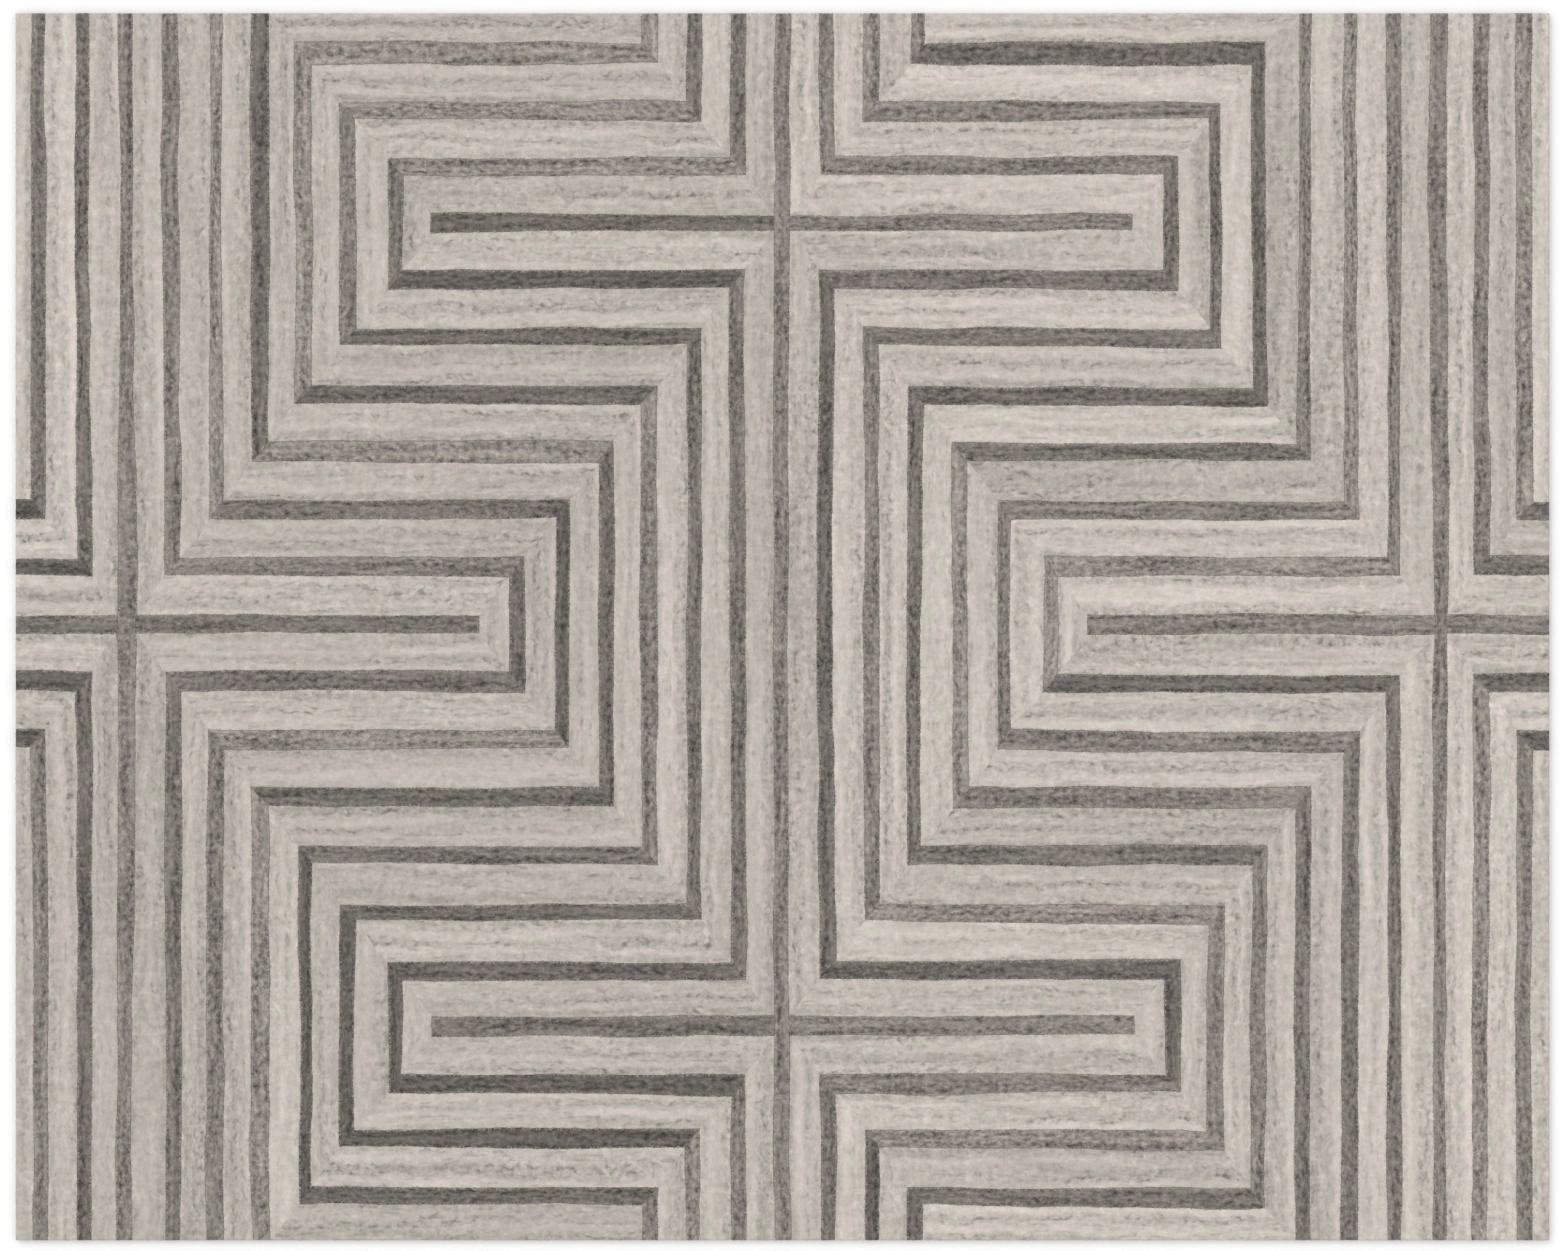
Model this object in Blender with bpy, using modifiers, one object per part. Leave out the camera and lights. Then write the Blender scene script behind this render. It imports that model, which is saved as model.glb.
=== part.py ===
"""Hand-tufted wool area rug, 10 ft by 8 ft, lying flat and pile side up.

The design is a maze of grey lines on ivory. One upright line with two crossbars stands in the middle
of the rug, one with a single crossbar stands near each short edge, and six zigzag lines on each side
fill the space between them. Every grey line and every ivory band is a run of pile of its own, tufted
into one primary cloth. Under the cloth lie the latex that locks the tufts, a canvas backing, the hem
tapes that cover the cloth's turned-under edge, and a blank care label.

+X runs along the rug's long side and +Y towards its back edge. The origin is on the floor, under the
middle of the rug. Sizes are in metres.
"""

import math

import bmesh
import bpy

# The rug
RUG_LENGTH = 3.048
RUG_WIDTH = 2.4384
PILE_HEIGHT = 0.010
PILE_EDGE_ROUND = 0.002
PILE_EDGE_STEPS = 2

# The design: grey lines, and the columns and rows that they follow
UPRIGHT_LINE_WIDTH = 0.029
LEVEL_LINE_WIDTH = 0.037
COLUMN_PITCH = 0.0883
SIDE_TREE_MARGIN = 0.221
CORNER_LINE_PITCH = 0.087
OUTER_ROW_PITCH = 0.1117
END_MARGIN = 0.0852
DESIGN_OFFSET_Y = 0.003
BAR_END_CLEARANCE = 0.0625
ZIGZAGS_PER_SIDE = 6
WRAPPED_ZIGZAGS = 3
CORNER_LINES = 2

# The backing, from the floor up
TAPE_WIDTH = 0.050
TAPE_THICKNESS = 0.0008
TAPE_INSET = 0.004
CLOTH_THICKNESS = 0.0006
CLOTH_TURN_UNDER = 0.035
CANVAS_THICKNESS = 0.0006
LATEX_THICKNESS = 0.0012
PILE_OVERHANG = 0.003
LABEL_LENGTH = 0.090
LABEL_WIDTH = 0.055
LABEL_THICKNESS = 0.0004
LABEL_SETBACK = 0.040
HEM_THREAD_RADIUS = 0.00035
LABEL_THREAD_RADIUS = 0.0002

# Clearance between pieces that touch, and the distance that welds a curve's caps to its wall
PIECE_GAP = 0.0003
WELD_DISTANCE = 0.00001
SHARP_EDGE = math.radians(30)

# Places worked out from the sizes above
BACK = 1
FRONT = -1
HALF_LENGTH = RUG_LENGTH / 2
HALF_WIDTH = RUG_WIDTH / 2
SIDE_TREE_X = HALF_LENGTH - SIDE_TREE_MARGIN
BAR_ROW = ZIGZAGS_PER_SIDE + 1
BAR_ROW_HEIGHT = HALF_WIDTH - END_MARGIN - WRAPPED_ZIGZAGS * OUTER_ROW_PITCH
ROW_PITCH = BAR_ROW_HEIGHT / BAR_ROW
BAR_END_GAP = BAR_END_CLEARANCE + UPRIGHT_LINE_WIDTH / 2

TAPE_BOTTOM = 0.0
FOLD_BOTTOM = TAPE_BOTTOM + TAPE_THICKNESS + PIECE_GAP
LATEX_BOTTOM = FOLD_BOTTOM + max(CLOTH_THICKNESS, CANVAS_THICKNESS) + PIECE_GAP
CLOTH_BOTTOM = LATEX_BOTTOM + LATEX_THICKNESS + PIECE_GAP
PILE_BOTTOM = CLOTH_BOTTOM + CLOTH_THICKNESS + PIECE_GAP

PILE_COLOURS = {"ivory_wool": (0.578, 0.540, 0.480), "grey_wool": (0.222, 0.209, 0.194)}
BACKING_COLOURS = {
    "cotton_cloth": (0.66, 0.62, 0.53),
    "latex": (0.80, 0.77, 0.68),
    "cotton_canvas": (0.60, 0.55, 0.45),
    "cotton_tape": (0.70, 0.66, 0.57),
    "label_cloth": (0.82, 0.81, 0.78),
    "sewing_thread": (0.55, 0.50, 0.41),
}
ROUGHNESS = {"latex": 0.6, "label_cloth": 0.7}


def clear_scene():
    """Removes whatever the file opened with."""
    for thing in list(bpy.data.objects):
        bpy.data.objects.remove(thing, do_unlink=True)


def make_collection(name):
    """A new collection in the scene."""
    collection = bpy.data.collections.new(name)
    bpy.context.scene.collection.children.link(collection)
    return collection


def make_material(name, colour):
    """A matte, non-metallic Principled material."""
    material = bpy.data.materials.new(name)
    material.use_nodes = True
    shader = material.node_tree.nodes["Principled BSDF"]
    shader.inputs["Base Color"].default_value = (*colour, 1.0)
    shader.inputs["Roughness"].default_value = ROUGHNESS.get(name, 0.95)
    shader.inputs["Metallic"].default_value = 0.0
    return material


# Solids


def flat_piece(name, outline, bottom, thickness, material):
    """A flat outline, filled and given its thickness upwards from bottom."""
    curve = bpy.data.curves.new(name, "CURVE")
    curve.dimensions = "2D"
    curve.fill_mode = "BOTH"
    curve.extrude = thickness / 2
    spline = curve.splines.new("POLY")
    spline.points.add(len(outline) - 1)
    for point, (x, y) in zip(spline.points, outline):
        point.co = (x, y, 0.0, 1.0)
    spline.use_cyclic_u = True
    piece = bpy.data.objects.new(name, curve)
    piece.location.z = bottom + thickness / 2
    piece.data.materials.append(material)
    PARTS.objects.link(piece)
    return piece


def is_top_rim(edge):
    """Whether an edge runs along the rim of the piece's upper face."""
    return all(vertex.co.z > 0 for vertex in edge.verts) and edge.calc_face_angle(0) > SHARP_EDGE


def pile_piece(name, outline, material):
    """One field of cut pile: a flat piece whose upper rim is rounded, as sheared tufts are.

    The filled curve becomes a mesh, its caps are welded to its wall, and each cap is made one face,
    so that the rim can be bevelled.
    """
    guide = flat_piece(name, outline, PILE_BOTTOM, PILE_HEIGHT, material)
    graph = bpy.context.evaluated_depsgraph_get()
    mesh = bpy.data.meshes.new_from_object(guide.evaluated_get(graph))
    shape = bmesh.new()
    shape.from_mesh(mesh)
    bmesh.ops.remove_doubles(shape, verts=shape.verts, dist=WELD_DISTANCE)
    bmesh.ops.recalc_face_normals(shape, faces=shape.faces)
    if shape.calc_volume(signed=True) < 0:
        bmesh.ops.reverse_faces(shape, faces=shape.faces)
    bmesh.ops.dissolve_limit(shape, angle_limit=math.radians(1), verts=shape.verts, edges=shape.edges)
    bmesh.ops.bevel(
        shape,
        geom=[edge for edge in shape.edges if is_top_rim(edge)],
        offset=PILE_EDGE_ROUND,
        segments=PILE_EDGE_STEPS,
        profile=0.5,
        affect="EDGES",
    )
    shape.to_mesh(mesh)
    shape.free()
    place = guide.matrix_world.copy()
    bpy.data.objects.remove(guide, do_unlink=True)
    piece = bpy.data.objects.new(name, mesh)
    piece.matrix_world = place
    PARTS.objects.link(piece)
    return piece


def thread_loop(name, half_x, half_y, centre, radius, material):
    """A thread that runs once round a rectangle, on the curve's own round bevel."""
    curve = bpy.data.curves.new(name, "CURVE")
    curve.dimensions = "3D"
    curve.bevel_depth = radius
    curve.bevel_resolution = 2
    spline = curve.splines.new("POLY")
    corners = rectangle(half_x, half_y)
    spline.points.add(len(corners) - 1)
    for point, (x, y) in zip(spline.points, corners):
        point.co = (x, y, 0.0, 1.0)
    spline.use_cyclic_u = True
    thread = bpy.data.objects.new(name, curve)
    thread.location = centre
    thread.data.materials.append(material)
    PARTS.objects.link(thread)
    return thread


def rectangle(half_x, half_y):
    """The corners of a rectangle about the origin, counter-clockwise from front left."""
    return [(-half_x, -half_y), (half_x, -half_y), (half_x, half_y), (-half_x, half_y)]


# The lattice of columns and rows, for the right half of the rug


def row_y(row):
    """Height of a row. Rows are counted from the middle; those past the crossbars are set closer."""
    past_bar = max(0, abs(row) - BAR_ROW)
    distance = (abs(row) - past_bar) * ROW_PITCH + past_bar * OUTER_ROW_PITCH
    return DESIGN_OFFSET_Y + math.copysign(distance, row)


def near_column_x(zigzag):
    """Where a zigzag runs beside the centre tree; zigzag 1 is the nearest to it."""
    return zigzag * COLUMN_PITCH


def far_column_x(zigzag):
    """Where a zigzag runs beside the side tree; zigzag 6 is the nearest to it."""
    return SIDE_TREE_X - (ZIGZAGS_PER_SIDE + 1 - zigzag) * COLUMN_PITCH


def zigzag_path(zigzag):
    """A zigzag's centreline, from the rug's back edge to its front edge.

    It steps in between the two crossbars of the centre tree. The nearest ones also wrap round the
    crossbars' far sides, and the others run straight out to the edges.
    """
    near, far = near_column_x(zigzag), far_column_x(zigzag)
    inner_row = BAR_ROW - zigzag
    outer_row = BAR_ROW + zigzag
    if zigzag > WRAPPED_ZIGZAGS:
        upper = [(far, HALF_WIDTH), (far, row_y(inner_row)), (near, row_y(inner_row))]
        lower = [(near, row_y(-inner_row)), (far, row_y(-inner_row)), (far, -HALF_WIDTH)]
        return upper + lower
    upper = [(near, HALF_WIDTH), (near, row_y(outer_row)), (far, row_y(outer_row))]
    upper += [(far, row_y(inner_row)), (near, row_y(inner_row))]
    lower = [(near, row_y(-inner_row)), (far, row_y(-inner_row)), (far, row_y(-outer_row))]
    lower += [(near, row_y(-outer_row)), (near, -HALF_WIDTH)]
    return upper + lower


def corner_path(number, end):
    """A corner line's centreline, from the back or front edge round to the right edge."""
    x = SIDE_TREE_X + number * CORNER_LINE_PITCH
    y = row_y(end * number)
    return [(x, end * HALF_WIDTH), (x, y), (HALF_LENGTH, y)]


def line_side(path, side, growth):
    """One side of a grey line: its centreline moved out by half the line's width plus growth.

    Upright runs move by half the upright width and level runs by half the level width, so a corner
    moves by both. Side 1 is on the left of the way the path runs, and side -1 on its right.
    """
    moved = [list(point) for point in path]
    for index, (start, stop) in enumerate(zip(path, path[1:])):
        for point in moved[index : index + 2]:
            if start[0] == stop[0]:
                point[0] -= side * math.copysign(UPRIGHT_LINE_WIDTH / 2 + growth, stop[1] - start[1])
            else:
                point[1] += side * math.copysign(LEVEL_LINE_WIDTH / 2 + growth, stop[0] - start[0])
    return moved


def centre_tree_side(growth):
    """The right side of the centre tree, stepping out round its two crossbars."""
    upright = UPRIGHT_LINE_WIDTH / 2 + growth
    level = LEVEL_LINE_WIDTH / 2 + growth
    bar_end = far_column_x(1) - BAR_END_GAP + growth
    side = [(upright, HALF_WIDTH)]
    for bar in (row_y(BAR_ROW), row_y(-BAR_ROW)):
        side += [(upright, bar + level), (bar_end, bar + level)]
        side += [(bar_end, bar - level), (upright, bar - level)]
    return side + [(upright, -HALF_WIDTH)]


def side_tree_inner_side(growth):
    """The right tree's side towards the centre, stepping out round its crossbar."""
    x = SIDE_TREE_X - UPRIGHT_LINE_WIDTH / 2 - growth
    level = LEVEL_LINE_WIDTH / 2 + growth
    bar_end = near_column_x(ZIGZAGS_PER_SIDE) + BAR_END_GAP - growth
    bar = row_y(0)
    side = [(x, HALF_WIDTH), (x, bar + level), (bar_end, bar + level)]
    return side + [(bar_end, bar - level), (x, bar - level), (x, -HALF_WIDTH)]


def side_tree_outer_side(end, growth):
    """The right tree's side towards one corner, from the rug's end edge round to its right edge."""
    x = SIDE_TREE_X + UPRIGHT_LINE_WIDTH / 2 + growth
    y = row_y(0) + end * (LEVEL_LINE_WIDTH / 2 + growth)
    return [(x, end * HALF_WIDTH), (x, y), (HALF_LENGTH, y)]


# Outlines. A grey line gives up half of the gap on each side, and so does an ivory band.

LINE_GROWTH = -PIECE_GAP / 2
BAND_GROWTH = PIECE_GAP / 2


def line_outline(path):
    """The outline of a grey line about its centreline."""
    return line_side(path, 1, LINE_GROWTH) + line_side(path, -1, LINE_GROWTH)[::-1]


def between(first_side, second_side):
    """The outline of the band between two sides that both start on one edge of the rug."""
    return first_side + second_side[::-1]


def centre_tree_outline():
    """The centre tree: an upright line and two crossbars, the same to left and right."""
    side = centre_tree_side(LINE_GROWTH)
    return between(side, mirrored(side))


def side_tree_outline():
    """The right tree: an upright line and one crossbar that runs off the rug's right edge."""
    back = side_tree_outer_side(BACK, LINE_GROWTH)
    front = side_tree_outer_side(FRONT, LINE_GROWTH)
    return between(back + front[::-1], side_tree_inner_side(LINE_GROWTH))


def band_outline(number):
    """Ivory band 1 lies next to the centre tree, and the last one next to the side tree."""
    if number == 1:
        inner = centre_tree_side(BAND_GROWTH)
    else:
        inner = line_side(zigzag_path(number - 1), 1, BAND_GROWTH)
    if number > ZIGZAGS_PER_SIDE:
        outer = side_tree_inner_side(BAND_GROWTH)
    else:
        outer = line_side(zigzag_path(number), -1, BAND_GROWTH)
    return between(inner, outer)


def corner_band_outline(number, end):
    """Corner band 1 lies next to the side tree, and the last one fills the rug's corner."""
    if number == 1:
        inner = side_tree_outer_side(end, BAND_GROWTH)
    else:
        inner = line_side(corner_path(number - 1, end), end, BAND_GROWTH)
    if number > CORNER_LINES:
        return inner + [(HALF_LENGTH, end * HALF_WIDTH)]
    return between(inner, line_side(corner_path(number, end), -end, BAND_GROWTH))


def mirrored(outline):
    """The same points on the left half of the rug."""
    return [(-x, y) for x, y in outline]


# Pieces


def make_pile(ivory, grey):
    """Every grey line and ivory band, one piece of pile each."""
    pile_piece("centre_tree_line", centre_tree_outline(), grey)
    for side, turned in (("right", list), ("left", mirrored)):
        pile_piece(f"{side}_tree_line", turned(side_tree_outline()), grey)
        for zigzag in range(1, ZIGZAGS_PER_SIDE + 1):
            outline = line_outline(zigzag_path(zigzag))
            pile_piece(f"{side}_zigzag_line_{zigzag}", turned(outline), grey)
        for band in range(1, ZIGZAGS_PER_SIDE + 2):
            pile_piece(f"{side}_ivory_band_{band}", turned(band_outline(band)), ivory)
        for corner, end in (("back", BACK), ("front", FRONT)):
            for line in range(1, CORNER_LINES + 1):
                outline = line_outline(corner_path(line, end))
                pile_piece(f"{corner}_{side}_corner_line_{line}", turned(outline), grey)
            for band in range(1, CORNER_LINES + 2):
                outline = corner_band_outline(band, end)
                pile_piece(f"{corner}_{side}_corner_band_{band}", turned(outline), ivory)


def make_primary_cloth(material):
    """The cloth that holds the tufts: a sheet whose edge folds down and under, all the way round.

    Its middle surface is one quad, extruded down over the edge and then inwards, with Solidify
    giving it the cloth's thickness on both sides.
    """
    half_x = HALF_LENGTH - PILE_OVERHANG - CLOTH_THICKNESS / 2
    half_y = HALF_WIDTH - PILE_OVERHANG - CLOTH_THICKNESS / 2
    shape = bmesh.new()
    bmesh.ops.create_grid(shape, x_segments=1, y_segments=1, size=1.0)
    bmesh.ops.scale(shape, verts=shape.verts, vec=(half_x, half_y, 1.0))
    wall = bmesh.ops.extrude_edge_only(shape, edges=shape.edges[:])["geom"]
    fold_line = [part for part in wall if isinstance(part, bmesh.types.BMVert)]
    fold_edges = [part for part in wall if isinstance(part, bmesh.types.BMEdge)]
    bmesh.ops.translate(shape, verts=fold_line, vec=(0.0, 0.0, FOLD_BOTTOM - CLOTH_BOTTOM))
    flange = bmesh.ops.extrude_edge_only(shape, edges=fold_edges)["geom"]
    for part in flange:
        if isinstance(part, bmesh.types.BMVert):
            part.co.x -= math.copysign(CLOTH_TURN_UNDER, part.co.x)
            part.co.y -= math.copysign(CLOTH_TURN_UNDER, part.co.y)
    bmesh.ops.recalc_face_normals(shape, faces=shape.faces)
    mesh = bpy.data.meshes.new("primary_cloth")
    shape.to_mesh(mesh)
    shape.free()
    cloth = bpy.data.objects.new("primary_cloth", mesh)
    cloth.location.z = CLOTH_BOTTOM + CLOTH_THICKNESS / 2
    thickness = cloth.modifiers.new("cloth_thickness", "SOLIDIFY")
    thickness.thickness = CLOTH_THICKNESS
    thickness.offset = 0.0
    thickness.use_even_offset = True
    cloth.data.materials.append(material)
    PARTS.objects.link(cloth)


def make_backing_layers(latex, canvas):
    """The latex inside the fold, and the canvas that meets the turned-under edge."""
    inside = PILE_OVERHANG + CLOTH_THICKNESS + PIECE_GAP
    latex_outline = rectangle(HALF_LENGTH - inside, HALF_WIDTH - inside)
    flat_piece("latex_layer", latex_outline, LATEX_BOTTOM, LATEX_THICKNESS, latex)
    canvas_edge = PILE_OVERHANG + CLOTH_THICKNESS / 2 + CLOTH_TURN_UNDER + PIECE_GAP
    canvas_outline = rectangle(HALF_LENGTH - canvas_edge, HALF_WIDTH - canvas_edge)
    flat_piece("canvas_backing", canvas_outline, FOLD_BOTTOM, CANVAS_THICKNESS, canvas)


def make_hem_tapes(material):
    """Four tapes over the turned-under edge, mitred where they meet at the corners."""
    outer = rectangle(HALF_LENGTH - TAPE_INSET, HALF_WIDTH - TAPE_INSET)
    inner = rectangle(HALF_LENGTH - TAPE_INSET - TAPE_WIDTH, HALF_WIDTH - TAPE_INSET - TAPE_WIDTH)
    mitre_gap = PIECE_GAP * math.sqrt(0.5)
    sides = (("front", 1, 0), ("right", 0, 1), ("back", -1, 0), ("left", 0, -1))
    for index, (side, along_x, along_y) in enumerate(sides):
        step_x, step_y = along_x * mitre_gap, along_y * mitre_gap
        start = [(x + step_x, y + step_y) for x, y in (inner[index], outer[index])]
        stop = [(x - step_x, y - step_y) for x, y in (outer[index - 3], inner[index - 3])]
        flat_piece(f"hem_tape_{side}", start + stop, TAPE_BOTTOM, TAPE_THICKNESS, material)


def make_label_and_threads(label_cloth, thread):
    """The blank care label near the back left corner, and the threads that hold it and the tapes."""
    tape_edge = TAPE_INSET + TAPE_WIDTH
    hem_run = tape_edge + PIECE_GAP + HEM_THREAD_RADIUS
    hem_centre = (0.0, 0.0, TAPE_BOTTOM + TAPE_THICKNESS / 2)
    half_x, half_y = HALF_LENGTH - hem_run, HALF_WIDTH - hem_run
    thread_loop("hem_thread", half_x, half_y, hem_centre, HEM_THREAD_RADIUS, thread)

    label_x = -HALF_LENGTH + tape_edge + LABEL_SETBACK + LABEL_LENGTH / 2
    label_y = HALF_WIDTH - tape_edge - LABEL_SETBACK - LABEL_WIDTH / 2
    label_bottom = FOLD_BOTTOM - PIECE_GAP - LABEL_THICKNESS
    outline = rectangle(LABEL_LENGTH / 2, LABEL_WIDTH / 2)
    label = flat_piece("care_label", outline, label_bottom, LABEL_THICKNESS, label_cloth)
    label.location.x = label_x
    label.location.y = label_y
    around = PIECE_GAP + LABEL_THREAD_RADIUS
    half_x, half_y = LABEL_LENGTH / 2 + around, LABEL_WIDTH / 2 + around
    centre = (label_x, label_y, label_bottom + LABEL_THICKNESS / 2)
    thread_loop("label_thread", half_x, half_y, centre, LABEL_THREAD_RADIUS, thread)


clear_scene()
PARTS = make_collection("area_rug")
FINISHES = {
    name: make_material(name, colour) for name, colour in (PILE_COLOURS | BACKING_COLOURS).items()
}
make_pile(FINISHES["ivory_wool"], FINISHES["grey_wool"])
make_primary_cloth(FINISHES["cotton_cloth"])
make_backing_layers(FINISHES["latex"], FINISHES["cotton_canvas"])
make_hem_tapes(FINISHES["cotton_tape"])
make_label_and_threads(FINISHES["label_cloth"], FINISHES["sewing_thread"])
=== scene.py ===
"""Area rug: hand-tufted wool, a mirrored maze of heathered grey lines on ivory.

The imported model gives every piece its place. Each colour field of pile is a strip: a profile with rounded
shoulders, carried along the field's own path, turned at mitred corners, and roughened row by row the way
tufts stand. Under the pile lie the cloth that holds it, the latex, the canvas, the hem tapes and a label.
"""

import logging
import math
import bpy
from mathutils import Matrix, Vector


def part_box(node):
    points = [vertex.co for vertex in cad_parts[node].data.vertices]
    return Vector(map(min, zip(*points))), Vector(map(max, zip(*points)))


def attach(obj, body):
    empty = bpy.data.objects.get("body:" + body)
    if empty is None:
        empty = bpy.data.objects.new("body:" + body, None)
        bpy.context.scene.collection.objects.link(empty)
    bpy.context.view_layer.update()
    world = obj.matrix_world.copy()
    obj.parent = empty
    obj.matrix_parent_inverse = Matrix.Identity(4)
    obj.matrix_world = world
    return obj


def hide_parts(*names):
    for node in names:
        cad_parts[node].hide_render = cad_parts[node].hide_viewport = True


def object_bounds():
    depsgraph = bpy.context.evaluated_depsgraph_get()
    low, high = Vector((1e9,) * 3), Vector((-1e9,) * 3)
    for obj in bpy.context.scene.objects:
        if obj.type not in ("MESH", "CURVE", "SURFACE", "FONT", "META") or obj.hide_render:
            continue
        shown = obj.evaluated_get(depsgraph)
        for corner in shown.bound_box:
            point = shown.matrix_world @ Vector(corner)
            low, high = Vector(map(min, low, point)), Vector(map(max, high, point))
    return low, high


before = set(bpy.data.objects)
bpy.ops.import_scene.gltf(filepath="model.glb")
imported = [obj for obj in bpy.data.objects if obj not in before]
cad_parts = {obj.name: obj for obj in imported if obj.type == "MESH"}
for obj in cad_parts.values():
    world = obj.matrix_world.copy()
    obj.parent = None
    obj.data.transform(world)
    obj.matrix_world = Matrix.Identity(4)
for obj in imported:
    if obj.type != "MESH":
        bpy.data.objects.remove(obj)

import zlib
from collections.abc import Callable, Sequence
from dataclasses import dataclass, field
from enum import Enum, IntEnum

import bpy
import numpy as np

CAD_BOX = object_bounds()
HALF_LENGTH, HALF_WIDTH = CAD_BOX[1][0], CAD_BOX[1][1]
CROWN = CAD_BOX[1][2]

log = logging.getLogger("area_rug")

Socket = bpy.types.NodeSocket
Place = Callable[[np.ndarray, np.ndarray, float], tuple[np.ndarray, np.ndarray]]


# ---------------------------------------------------------------- unevenness


@dataclass(frozen=True)
class Wander:
    """Smooth unevenness from -1 to 1: random heights on a lattice, eased from one to the next."""

    seed: int
    lattice: int = 256

    def at(self, x: np.ndarray, y: np.ndarray) -> np.ndarray:
        """Height at each point, the four nearest lattice heights blended by smooth steps in x and y.

        Args:
            x: Places along the lattice, in cells.
            y: Places across the lattice, in cells.

        Returns:
            One height for each point.
        """
        heights = np.random.default_rng(self.seed).uniform(-1, 1, (self.lattice, self.lattice))
        i, j = np.floor(x).astype(int), np.floor(y).astype(int)
        u, v = eased(x - i), eased(y - j)
        i0, i1 = i % self.lattice, (i + 1) % self.lattice
        j0, j1 = j % self.lattice, (j + 1) % self.lattice
        before = heights[i0, j0] * (1 - u) + heights[i1, j0] * u
        after = heights[i0, j1] * (1 - u) + heights[i1, j1] * u
        return before * (1 - v) + after * v


def eased(share: np.ndarray) -> np.ndarray:
    """A smooth step: three squares less two cubes of a share held between 0 and 1."""
    held = np.clip(share, 0, 1)
    return held * held * (3 - 2 * held)


@dataclass(frozen=True)
class HandDrift:
    """How the tufter's line strays from the drawn one. It dies out at the bound edges, cut straight.

    Attributes:
        waves: Drifts that add up, each with its reach and its cells' size across the lines and along them.
        upright_seed: Makes the upright lines' drift their own.
        level_seed: Makes the level lines' drift their own.
        calm_margin: How far in from a bound edge the drift has its full size.
    """

    waves: tuple[tuple[float, float, float], ...] = (
        (0.0062, 0.046, 0.900),
        (0.0030, 0.040, 0.150),
        (0.0012, 0.026, 0.050),
        (0.0008, 0.009, 0.009),
    )
    upright_seed: int = 11
    level_seed: int = 15
    calm_margin: float = 0.040

    def stray(self, across: np.ndarray, along: np.ndarray, seed: int) -> np.ndarray:
        """How far lines stray to one side: the sum of each wave's reach times its unevenness.

        Args:
            across: Distance across the lines.
            along: Distance along them.
            seed: Makes this drift its own.

        Returns:
            A distance for each point.
        """
        parts = [
            reach * Wander(seed + k).at(across / wide, along / long)
            for k, (reach, wide, long) in enumerate(self.waves)
        ]
        return sum(parts)

    def moved(self, flat: np.ndarray) -> np.ndarray:
        """Shifts points by two unrelated drifts, one for upright lines and one for level ones.

        Args:
            flat: Points in plan, as an array that ends in x and y.

        Returns:
            The points in plan where the tufter really set them.
        """
        x, y = flat[..., 0], flat[..., 1]
        calm_x = eased((HALF_LENGTH - np.abs(x)) / self.calm_margin)
        calm_y = eased((HALF_WIDTH - np.abs(y)) / self.calm_margin)
        moved_x = x + calm_x * self.stray(x, y, self.upright_seed)
        moved_y = y + calm_y * self.stray(y, x, self.level_seed)
        return np.stack([moved_x, moved_y], axis=-1)


# ---------------------------------------------------------------- closed shells


@dataclass
class Shell:
    """A closed surface as arrays: points, faces, and what its material reads at points and at corners."""

    points: np.ndarray
    quads: np.ndarray
    triangles: np.ndarray
    corner_values: dict[str, np.ndarray] = field(default_factory=dict)
    point_values: dict[str, np.ndarray] = field(default_factory=dict)


def joined(shells: Sequence[Shell]) -> Shell:
    """Puts separate closed surfaces into one. Quads come first, so corner values are put in that order too.

    Args:
        shells: The surfaces, which all hold the same named values.

    Returns:
        One surface.
    """
    starts = np.cumsum([0, *(len(s.points) for s in shells[:-1])])
    quad_corners = [s.quads.size for s in shells]
    corner_values = {}
    for name in shells[0].corner_values:
        of_quads = [s.corner_values[name][:n] for s, n in zip(shells, quad_corners)]
        of_triangles = [s.corner_values[name][n:] for s, n in zip(shells, quad_corners)]
        corner_values[name] = np.concatenate([*of_quads, *of_triangles])
    return Shell(
        np.concatenate([s.points for s in shells]),
        np.concatenate([s.quads + start for s, start in zip(shells, starts)]),
        np.concatenate([s.triangles + start for s, start in zip(shells, starts)]),
        corner_values,
        {name: np.concatenate([s.point_values[name] for s in shells]) for name in shells[0].point_values},
    )


def rim_of(rows: int, columns: int) -> np.ndarray:
    """Numbers of a grid's rim points, once round: up the first column, along the last row, and back."""
    grid = np.arange(rows * columns).reshape(rows, columns)
    return np.concatenate([grid[:, 0], grid[-1, 1:], grid[-2::-1, -1], grid[0, -2:0:-1]])


def grid_quads(rows: int, columns: int) -> np.ndarray:
    """Quads of a grid of points, turned so that rows by columns gives the normal.

    Args:
        rows: How many rows of points there are.
        columns: How many points a row has.

    Returns:
        The numbers of each quad's four corners.
    """
    grid = np.arange(rows * columns).reshape(rows, columns)
    corners = [grid[:-1, :-1], grid[1:, :-1], grid[1:, 1:], grid[:-1, 1:]]
    return np.stack(corners, axis=-1).reshape(-1, 4)


def band_quads(upper: np.ndarray, lower: np.ndarray) -> np.ndarray:
    """Quads of the wall between two rings of as many points, facing away from what the rings go round."""
    return np.stack([upper, lower, np.roll(lower, -1), np.roll(upper, -1)], axis=-1)


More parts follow.
